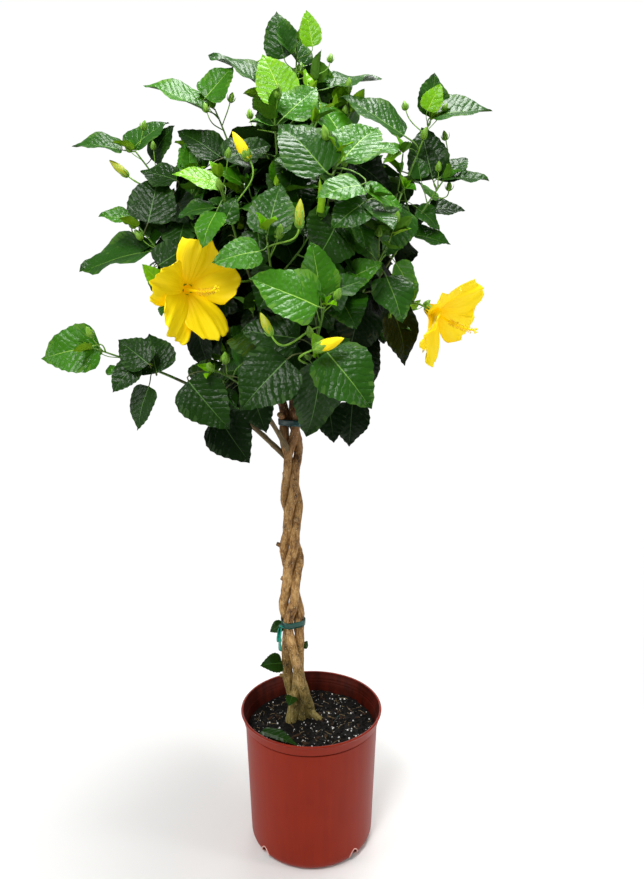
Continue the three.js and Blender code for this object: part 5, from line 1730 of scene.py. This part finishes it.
def tip_cluster(at, along, side, draw):
    """The folded leaflets at a growing tip."""
    for i in range(3):
        out = turned(side, along, 144 * i + 40 * draw())
        lean = unit(along + out * (0.22 + 0.2 * i))
        face = square_to(unit(along * 0.3 - out), lean)
        length = (13 + 9 * i + 6 * draw()) * MM
        leaves.append({
            "from": (at, lean), "root": at + lean * 3 * MM, "along": lean, "face": face,
            "length": length, "seed": int(draw() * 1e6), "fold": 0.9, "bend": 0.35,
            "breadth": 0.62, "quilt": 0.6, "tone": "lime" if draw() < 0.6 else "fresh"})


def add_shoot(line):
    """A twig's stem, a little swollen at every third step of its line."""
    radii = np.linspace(TWIG_ROOT_RADIUS, TWIG_TIP_RADIUS, len(line))
    add_tube(shoot_heap, line, radii * (1 + 0.12 * (np.arange(len(line)) % 3 == 1)), 8)


def twig_clear(spots, limb):
    """Whether a twig's spots keep off limbs, flowers and leaves already there."""
    if kept_out(spots) or not owns(limb, spots[-1], OVERRUN):
        return False
    if not in_crown(spots[-1], 15 * MM) or hides(spots, 0.25):
        return False
    away = np.linalg.norm(WOOD_PLACES[:, None] - spots[None, 2:], axis=-1).min(axis=1)
    if (away < WOOD_RADII + 2 * MM).any():
        return False
    mates = [placed[key][:leaf_count] for key in LEAF_SHAPE]
    return not leaf_holds(*mates, spots[None, 2:], 2.2 * MM).any()


def grow_twig(limb, shoot_node, turn, chance, length, order):
    """A side twig beside a leaf, with its own leaves, and finer twigs beside those."""
    at, stem, side = shoot_node
    out = turned(side, stem, turn)
    spread = math.radians(TWIG_SPREAD)
    leave = stem * math.cos(spread) + out * math.sin(spread)
    length = length * (0.8 + 0.4 * chance)
    arrive = unit(leave + UP * 0.6)
    end = at + leave * length * 0.7 + arrive * length * 0.3
    line = swept(at, unit(leave), end, arrive, 9)
    if not twig_clear(line, limb):
        return 0
    draw = seeded(int(chance * 1e6) + 7 * order)
    level = unit(np.cross(stem, leave))
    nodes = line_nodes(line, TWIG_SPACING, 2 * MM, level, 0.12)
    grown = 0
    for age, place in enumerate(nodes):
        leaf_turn = 60 + LEAF_TURN * age
        grown += try_leaf(limb, place, age + (1 if order > 1 else 0), leaf_turn,
                          0.8 + 0.2 * draw(), draw)
        if order == 1 and age in FINE_TWIG_NODES:
            grown += grow_twig(limb, place, leaf_turn + 30, draw(), length * 0.55, 2)
    if grown:
        add_shoot(line)
        tip_cluster(line[-1], arrive, level, draw)
    return grown


def nearest_limb(point):
    """The place on any limb's outer run that lies nearest to a point, and its heading."""
    best = None
    for curve in CURVES.values():
        share = np.linspace(SPINE_START, 1, 60)
        line = on_curve(curve, share)
        away = np.linalg.norm(line - point, axis=1)
        i = int(away.argmin())
        if best is None or away[i] < best[0]:
            best = (away[i], line[i], curve_heading(curve, share[i]))
    return best


def add_named_leaves():
    for i, row in enumerate(NAMED_LEAVES):
        across, back, up, bearing, climb, face_bearing, face_climb, length, tone = row
        root = np.array([across * MM, back * MM, FORK[2] + up * MM])
        along, face = heading(bearing, climb), heading(face_bearing, face_climb)
        leaf = {
            "root": root, "along": along, "face": square_to(face, along),
            "length": length * MM, "seed": 4100 + 7 * i, "tone": tone, "quilt": 1.1,
            "fold": 0.12 if face_climb < 45 else 0.3, "bend": NAMED_BEND,
            "breadth": 0.8 if tone == "lime" else 1.0,
        }
        foot = root - along * 14 * MM - UP * 4 * MM
        away, start, stem = nearest_limb(foot)
        leaf["from"] = (start, unit(unit(foot - start) + 0.6 * stem)) if away > MM else None
        spots = spot_places(leaf)
        keep_leaf(leaf, spots)
        shown.append(spots)


def grow_mass(i, limb):
    """All of one limb's leafy growth, from its tip down."""
    draw = seeded(limb.seed)
    curve = CURVES[limb.name]
    start_turn = 360 * draw()
    tip_heading = curve_heading(curve, 1.0)
    level = unit(np.cross(UP, tip_heading))
    line = on_curve(curve, np.linspace(SHOOT_START, 1, 40))
    nodes = line_nodes(line, LEAF_SPACING, 2 * MM, level)
    tip_cluster(line[-1], tip_heading, level, seeded(limb.seed + 500))
    for age, place in enumerate(nodes):
        turn = start_turn + LEAF_TURN * age + 24 * (draw() - 0.5)
        scale = 0.82 + 0.26 * draw()
        chance = draw()
        try_leaf(i, place, age, turn, scale, draw)
        if age in TWIG_NODES:
            grow_twig(i, place, turn + 25, chance, TWIG_LENGTH, 1)


# ------------------------------------------------------------------ flowers and buds

petal_heap, pollen_heap, calyx_heap, green_bud_heap = Heap(), Heap(), Heap(), Heap()
BROWN_STEPS = 14  # how many of a shoot's 33 steps have started to turn brown
BRACT_COUNT = 7
BRACT_RADII = np.array([0.8, 0.8, 0.7, 0.62, 0.5, 0.36, 0.15]) * MM
PETAL_ROWS = 30
PETAL_COLUMNS = 25
STAMEN_COUNT = 110
STAMEN_TURN = 137.5
BUD_ROWS = 30
BUD_SIDES = 40


def add_stalk(host, share, base, axis, radius):
    """A stalk from its host's shoot, with the swollen joint near the flower."""
    start = on_curve(CURVES[host], BOUGH_SHARE + (1 - BOUGH_SHARE) * share)
    along = np.linspace(0, 1, 16)
    line = on_curve(run(start, unit(base - start), base, axis), along)
    add_tube(calyx_heap, line, radius * (1 + 0.25 * np.exp(-((along - 0.8) / 0.05) ** 2)), 10)


def add_bracts(base, axis, length, spread, seed):
    """The ring of thin green bracts under a calyx."""
    draw = seeded(seed)
    side = beside(axis)
    for i in range(BRACT_COUNT):
        out = turned(side, axis, 360 / BRACT_COUNT * i + 20 * draw())
        size = length * (0.85 + 0.3 * draw())
        end = base + axis * size * math.cos(math.radians(spread)) + out * size * math.sin(
            math.radians(spread))
        foot = base + out * 1.2 * MM
        line = swept(foot, unit(out + axis * 0.3), end, axis, len(BRACT_RADII))
        add_tube(calyx_heap, line, BRACT_RADII, 6)


def add_calyx(base, axis, length, radius, seed):
    """A green cup whose rim is five pointed lobes."""
    sides, rows = 30, 9
    turn = circle(sides)
    lobe = np.abs(np.cos(2.5 * turn)) ** 0.8
    share = np.linspace(0, 1, rows)[:, None]
    height = share * length * (0.55 + 0.45 * lobe)
    out = radius * (0.42 + 0.58 * ease(share * 1.6)) * (1 + 0.02 * np.cos(10 * turn))
    out = out * (1 - 0.1 * share ** 2 * (1 - lobe))
    outer, inner = (around(reach, turn, height) for reach in (out, out - 0.5 * MM))
    rings = np.concatenate([outer, inner[::-1]])
    calyx_heap.add(stand(rings, base, axis, seed * 37), [ring_quads(len(rings), sides)], 0, rings)


def petal_lift(cross, share, phase):
    """How far a petal stands off its middle line: a ruffled rim, ribs, the tilt by which
    it overlaps the next petal, and the cup of the throat."""
    rim = ease((share - 0.45) / 0.55)
    ruffle = MM * rim * (
        3.4 * np.sin(4.2 * cross + phase[0]) + 2.3 * np.sin(9.5 * cross + phase[1])
        + 1.2 * np.sin(19 * cross + phase[2]))
    ruffle = ruffle + MM * 3.5 * rim * np.sin(3 * share + phase[3]) * np.abs(cross)
    rib = -0.35 * MM * np.cos(22 * cross) * np.clip(share * 2, 0, 1) * (1 - 0.4 * rim)
    pinwheel = 5.5 * MM * cross * ease((share - 0.25) / 0.5)
    cup = PETAL_LENGTH * -0.035 * cross ** 2 * (1 - rim)
    return ruffle + rib + pinwheel + cup


def add_closed_sheet(heap, top, under, grain):
    """A thin sheet with two sides, closed all round its border."""
    count = top[..., 0].size
    index = np.arange(count).reshape(top.shape[:2])
    quads = grid_quads(index).reshape(-1, 4)
    border = np.concatenate([index[0, :-1], index[:-1, -1], index[-1, :0:-1], index[:0:-1, 0]])
    following = np.roll(border, -1)
    rim_quads = np.stack([border, border + count, following + count, following], -1)
    heap.add([top, under], [quads, quads[:, ::-1] + count, rim_quads], 0, [grain, grain])


def add_petal(throat, axis, out, size, seed):
    """One petal: it leaves the throat almost straight, then opens out with a ruffled rim."""
    draw = seeded(seed)
    share = np.linspace(0.03, 1, PETAL_ROWS)
    opening = np.radians(12 + 48 * ease(share / 0.5) + 12 * ease((share - 0.5) / 0.5))
    step = PETAL_LENGTH * size / (PETAL_ROWS - 1)
    along = np.outer(np.cos(opening), axis) + np.outer(np.sin(opening), out)
    face = np.outer(np.sin(opening), axis) - np.outer(np.cos(opening), out)
    base = throat - axis * THROAT_LENGTH + out * 1.5 * MM
    spine = base + np.cumsum(along * step, axis=0)
    half = PETAL_LENGTH * (0.07 + 0.3 * ease(share / 0.75)) * (1 - 0.1 * ease((share - 0.85) / 0.15))
    phase = [6.28 * draw() for _ in range(4)]
    share, cross = np.meshgrid(share, np.linspace(-1, 1, PETAL_COLUMNS), indexing="ij")
    inset = PETAL_LENGTH * ((0.2 + 0.14 * cross) * np.abs(cross) ** 2.4) * share ** 3
    pattern = np.stack([cross * 5.5, np.full_like(cross, seed), share], -1)
    bite = 3.4 * MM * bumps(pattern, seed) * ease((share - 0.82) / 0.18)
    top = (spine[:, None] + np.cross(out, axis) * (cross * half[:, None])[..., None]
           + face[:, None] * petal_lift(cross, share, phase)[..., None]
           - along[:, None] * (inset + bite)[..., None])
    wall = 0.45 * MM * (1 - 0.9 * (np.abs(cross) > 0.99)) * (1 - 0.9 * (share > 0.99))
    under = top - face[:, None] * wall[..., None]
    grain = np.stack([cross, np.full_like(cross, seed % 7), share], -1)
    add_closed_sheet(petal_heap, top, under, grain)


def add_stamens(column, axis, bow, seed):
    """Short threads with a grain of pollen each wind up the column, and five pads end it."""
    draw = seeded(seed)
    for i in range(STAMEN_COUNT):
        spot = on_curve(column, mix(0.5, 0.97, i / STAMEN_COUNT))
        away = turned(unit(np.cross(axis, UP)), axis, STAMEN_TURN * i)
        away = unit(away + axis * (0.3 + 0.5 * draw()))
        end = spot + away * (3.2 + 2.6 * draw()) * MM
        add_tube(pollen_heap, [spot, end], np.array([0.24, 0.18]) * MM, 4, 1)
        pollen_heap.add(*lump(end, np.array([1, 0.8, 0.7]) * 0.95 * MM, i, 0.1, 4, 6))
    tip = column[-1]
    for i in range(5):
        away = unit(bow + 0.75 * turned(unit(np.cross(bow, UP)), bow, 72 * i))
        line = [tip - bow * MM, tip + away * 2.5 * MM, tip + away * 5 * MM]
        add_tube(pollen_heap, line, np.array([0.5, 0.4, 0.4]) * MM, 6, 1)
        pollen_heap.add(*lump(tip + away * 5.6 * MM, np.full(3, 1.4 * MM), i, 0.1, 5, 8), 1)


def add_flower(name, seed):
    """An open flower: five petals, the column with its stamens, calyx, bracts and stalk."""
    host, share, bearing, out, up, facing, tilt, roll = FLOWERS[name]
    throat, axis = from_fork(bearing, out, up), heading(facing, tilt)
    base = throat - axis * THROAT_LENGTH
    side = unit(np.cross(UP, axis))
    for i, (shift, size) in enumerate(PETAL_SHIFTS):
        out = turned(side, axis, roll + shift + 360 / len(PETAL_SHIFTS) * i)
        add_petal(throat, axis, out, size, seed + i)
    bow = unit(axis + UP * 0.28)
    tip = throat + axis * COLUMN_LENGTH + UP * 7 * MM
    along = np.linspace(0, 1, 20)
    column = run(base, axis, tip, bow)
    add_tube(petal_heap, on_curve(column, along), mix(2.3, 1.35, along) * MM, 12)
    petal_heap.grain[-1] = np.tile([0.0, 3.0, 0.5], (len(petal_heap.points[-1]), 1))
    add_stamens(column, axis, bow, seed + 90)
    add_calyx(base - axis * 3 * MM, axis, 22 * MM, 7.6 * MM, seed)
    add_bracts(base - axis * 3 * MM, axis, 13 * MM, 38, seed)
    add_stalk(host, share, base - axis * 2 * MM, axis, FLOWER_STALK_RADIUS)
    middle = throat + axis * 22 * MM
    keep_outs.append((middle, FLOWER_KEEP_OUT))
    keep_outs.append((middle + axis * 60 * MM, FLOWER_KEEP_OUT * 0.8))
    rim = [turned(side, axis, 30 * i) * PETAL_LENGTH * 0.7 for i in range(12)]
    shown.append(np.array([throat, tip, *(middle + spoke * k for spoke in rim for k in (0.5, 1))]))


def furled(base, axis, length, radius, seed, heap, green):
    """Petals rolled into a bud: five edges wind round it to a soft point.  Its grain is a
    petal's, or where green its own points."""
    share = np.linspace(0, 1, BUD_ROWS)[:, None]
    outline = radius * np.sin(np.pi * np.clip(share * 0.93 + 0.07, 0, 1) ** 0.82) ** 0.75
    turn = circle(BUD_SIDES)
    winding = (5 * turn / (2 * np.pi) + 1.6 * share + 0.3 * seed) % 1.0
    out = outline * (1 + 0.13 * (winding - 0.5) * ease(share * 2))
    points = around(out, turn, share * length)
    ends = np.array([[0, 0, -0.5 * MM], [0, 0, length + 0.5 * MM]])
    rolled = np.broadcast_arrays(winding * 2 - 1, seed, 0.35 + 0.5 * share)
    grain = (points if green else np.stack(rolled, -1)).reshape(-1, 3)
    heap.add(stand(np.concatenate([points.reshape(-1, 3), ends]), base, axis, 30 * seed),
             [ring_quads(BUD_ROWS, BUD_SIDES), end_fans(BUD_ROWS, BUD_SIDES)], 0,
             np.concatenate([grain, grain[[0, -1]]]))


def add_bud(name, seed):
    host, share, bearing, out, up, facing, tilt, length, radius = BUDS[name]
    middle, axis = from_fork(bearing, out, up), heading(facing, tilt)
    length, radius = length * MM, radius * MM
    base = middle - axis * length / 2
    ripe = name in RIPE_BUDS
    furled(base, axis, length, radius, seed, petal_heap if ripe else green_bud_heap, False)
    cup = (0.42 if ripe else 0.62) * length
    add_calyx(base - axis * 2 * MM, axis, cup, radius * 0.98, seed)
    add_bracts(base - axis * 2 * MM, axis, 0.34 * length, 34, seed)
    add_stalk(host, share, base - axis * MM, axis, 1.2 * MM)
    keep_outs.append((middle, length / 2 + 4 * MM))
    shown.append(base + np.outer(np.linspace(0, length, 6), axis))


def small_bud(at, along, draw, seed):
    """A young bud on its stalk: a green pointed calyx in a ring of bracts."""
    length = (13 + 7 * draw()) * MM
    radius = length * 0.27
    stalk = (22 + 26 * draw()) * MM
    base = at + along * stalk
    end = unit(along + UP * 0.4)
    line = swept(at, along, base, end, 8)
    add_tube(calyx_heap, line, np.full(len(line), 0.75 * MM), 6)
    furled(base, end, length, radius, seed % 5, calyx_heap, True)
    add_bracts(base, end, length * 0.62, 30, seed)


def add_young_buds():
    """Spiky green buds on thin stalks, each from the limb nearest to it."""
    for i, place in enumerate(YOUNG_BUDS):
        base = FORK * [0, 0, 1] + np.array(place) * MM
        foot = base - UP * 26 * MM
        _, start, stem = nearest_limb(foot)
        end = unit(UP + 0.3 * heading(67 * i))
        line = swept(start, unit(unit(foot - start) + 0.4 * stem), base, end, 12)
        add_tube(calyx_heap, line, np.full(len(line), 0.9 * MM), 6)
        furled(base, end, 15 * MM, 4.2 * MM, i, calyx_heap, True)
        add_bracts(base, end, 11 * MM, 36, 990 + i)


def add_sprouts():
    """The small leafy shoots that start from the trunk's foot."""
    for i, (name, height, bearing, climb, length, sizes) in enumerate(SPROUTS):
        strand = STRAND_NAMED[name]
        out = heading(bearing, climb)
        thick = float(strand_thickness(strand, height * MM))
        start = strand_point(strand, height * MM) + heading(bearing) * thick * 0.7
        tip = start + out * length * MM
        add_shoot(swept(start, heading(bearing), tip, out, 9))
        draw = seeded(880 + i)
        for j, size in enumerate(sizes):
            side = turned(out, UP, 26 * (1 - 2 * j))
            along = unit(side + UP * (0.15 + 0.5 * j))
            face = unit(UP + heading(-90) * 1.1)
            leaves.append({
                "from": (tip - out * 3 * MM, out), "root": tip + along * 2 * MM,
                "along": along, "face": square_to(face, along),
                "length": size * MM, "seed": int(draw() * 1e6), "tone": "deep",
                "fold": 0.2, "bend": 0.5, "breadth": 1.0, "quilt": 1.0})


def add_shoots():
    """Each limb's leafy outer run, and often one or two small buds near its tip."""
    for i, limb in enumerate(LIMBS):
        curve = CURVES[limb.name]
        share = np.linspace(BOUGH_SHARE - 0.02, 1, 34)
        line, radii = on_curve(curve, share), limb_radius(share)
        add_tube(shoot_heap, line[:BROWN_STEPS + 1], radii[:BROWN_STEPS + 1], 10, 1)
        add_tube(shoot_heap, line[BROWN_STEPS:], radii[BROWN_STEPS:], 10, 0)
        draw = seeded(700 + i)
        for j, (at_share, likely) in enumerate(((0.97, 0.85), (0.9, 0.5))):
            if draw() >= likely:
                continue
            at, stem = on_curve(curve, at_share), curve_heading(curve, at_share)
            out = turned(unit(np.cross(UP, stem)), stem, 360 * draw())
            along = unit(stem * 0.8 + out * 0.5 + UP * 0.3)
            end = at + along * 40 * MM
            if all(np.linalg.norm(end - middle) >= radius + 10 * MM for middle, radius in keep_outs):
                small_bud(at, along, draw, 10 * i + j)


def make_foliage():
    """The pieces that the leaves, shoots, flowers and buds were heaped up for."""
    mass_nodes = [f"leaves_{name}" for name in LIMB_NAMES]
    for tone, heaps in LEAF_HEAPS.items():
        for i, heap in enumerate(heaps):
            piece(f"leaves_{tone}_{i + 1}", heap, LEAF_MATERIALS[tone], "foliage", mass_nodes)
    piece("leaf_stalks", stalk_heap, [STALK, OLD_SHOOT], "foliage")
    piece("shoots", shoot_heap, [SHOOT, OLD_SHOOT], "foliage", ["sprout_foot"])
    piece("petals", petal_heap, [PETAL], "petals", [*FLOWERS, *RIPE_BUDS])
    piece("stamens", pollen_heap, [POLLEN, PETAL], "petals")
    piece("calyces_and_stalks", calyx_heap, [CALYX], "foliage")
    piece("unripe_buds", green_bud_heap, [GREEN_BUD], "petals")


# ------------------------------------------------------------------ putting it together

make_pot()
make_potting_mix()
make_litter()
make_trunk()
make_tie("tie_tape_lower", TIE_LOWER_HEIGHT, TAPE_HALF_SHADED, "tie_lower", True)
make_tie("tie_tape_upper", TIE_UPPER_HEIGHT, TAPE_SHADED, "tie_upper", False)
make_boughs()
for i, flower in enumerate(FLOWERS):
    add_flower(flower, 300 + 20 * i)
for i, bud in enumerate(BUDS):
    add_bud(bud, i + 1)
add_shoots()
add_sprouts()
add_named_leaves()
for i, limb in enumerate(LIMBS):
    grow_mass(i, limb)
add_young_buds()
for leaf in leaves:
    add_leaf(leaf)
make_foliage()

# ------------------------------------------------------------------ floor, light and camera

WORLD_STRENGTH = 0.3
FLOOR_RADIUS = 1.3
FLOOR_SIDES = 96
FLOOR_FADE_START = 0.3
FLOOR_FADE_END = 1.05
DOME_RADIUS = 9.0
# Soft lamps: where each one is and where it points, its size, and its watts
LAMPS = [
    ("key", (-0.7, -1.9, 2.7), (0, 0, 1.0), (0.8, 0.8), 52),
    ("top", (0.3, 0.1, 3.0), (0, 0, 1.1), (1.0, 1.0), 60),
    ("left_strip", (-1.8, -0.7, 0.9), (0, 0, 0.6), (0.4, 1.8), 12),
    ("right_strip", (1.8, -0.7, 0.9), (0, 0, 0.6), (0.4, 1.8), 12),
    ("back", (0, 2.6, 1.6), (0, 0, 0.9), (1.4, 1.4), 20),
]


def floor_paper():
    """Matt white studio paper, lit from below towards its edge."""
    material, tree, shader = blank(
        "floor_paper", Roughness=0.9, Specular_IOR_Level=0.1, Emission_Strength=1.0)
    out = node(tree, "VectorMath", {"operation": "LENGTH"}, {0: place_of(tree)}).outputs["Value"]
    far = node(tree, "MapRange", {"interpolation_type": "SMOOTHSTEP"},
               {0: out, 1: FLOOR_FADE_START, 2: FLOOR_FADE_END, 3: 0.0, 4: 1.0})
    white = node(tree, "ValToRGB", {}, {0: far}, [(0.0, "#f4f4f2"), (1.0, "#000000")])
    glow = node(tree, "ValToRGB", {}, {0: far}, [(0.0, "#000000"), (1.0, "#ffffff")])
    feed(shader, {"Base Color": white, "Emission Color": glow})
    return material


def glowing_paper():
    """White paper that gives its own even light, as a lit backdrop does."""
    return blank("white_paper", Base_Color=(0, 0, 0, 1), Emission_Color=(1, 1, 1, 1),
                 Emission_Strength=1.0)[0]


def make_floor():
    """A pale round floor, and far off round it all a white paper dome that only cameras see.
    The floor brightens outwards until its edge melts into the dome."""
    heap = Heap()
    heap.add(around(FLOOR_RADIUS, circle(FLOOR_SIDES), 0.0), [np.arange(FLOOR_SIDES)[None]])
    floor = piece("studio_floor", heap, [floor_paper()])
    heap = Heap()
    polar = np.linspace(0, np.pi, 25)
    heap.add(*lathe(DOME_RADIUS * np.stack([np.sin(polar), -np.cos(polar)], -1), 48))
    dome = piece("studio_dome", heap, [glowing_paper()])
    for ray in ("diffuse", "glossy", "transmission", "shadow"):
        setattr(dome, f"visible_{ray}", False)


def make_light(name, place, target, size, power):
    data = bpy.data.lights.new(name, "AREA")
    data.shape = "RECTANGLE"
    data.size, data.size_y = size
    data.energy = power
    lamp = put(name, data)
    lamp.location = place
    lamp.rotation_euler = (Vector(target) - Vector(place)).to_track_quat("-Z", "Y").to_euler()


def make_world():
    world = bpy.data.worlds.new("studio")
    world.use_nodes = True
    back = world.node_tree.nodes["Background"]
    back.inputs["Color"].default_value = (1, 1, 1, 1)
    back.inputs["Strength"].default_value = WORLD_STRENGTH
    bpy.context.scene.world = world


def make_camera():
    data = bpy.data.cameras.new("camera")
    data.sensor_width = 36
    data.lens = CAMERA_LENS
    camera = put("camera", data)
    camera.location = CAMERA_PLACE
    camera.rotation_euler = Euler((math.radians(90 - CAMERA_PITCH), 0, 0))
    bpy.context.scene.camera = camera


make_floor()
make_world()
for lamp in LAMPS:
    make_light(*lamp)
make_camera()
bpy.context.scene.view_settings.view_transform = "Standard"
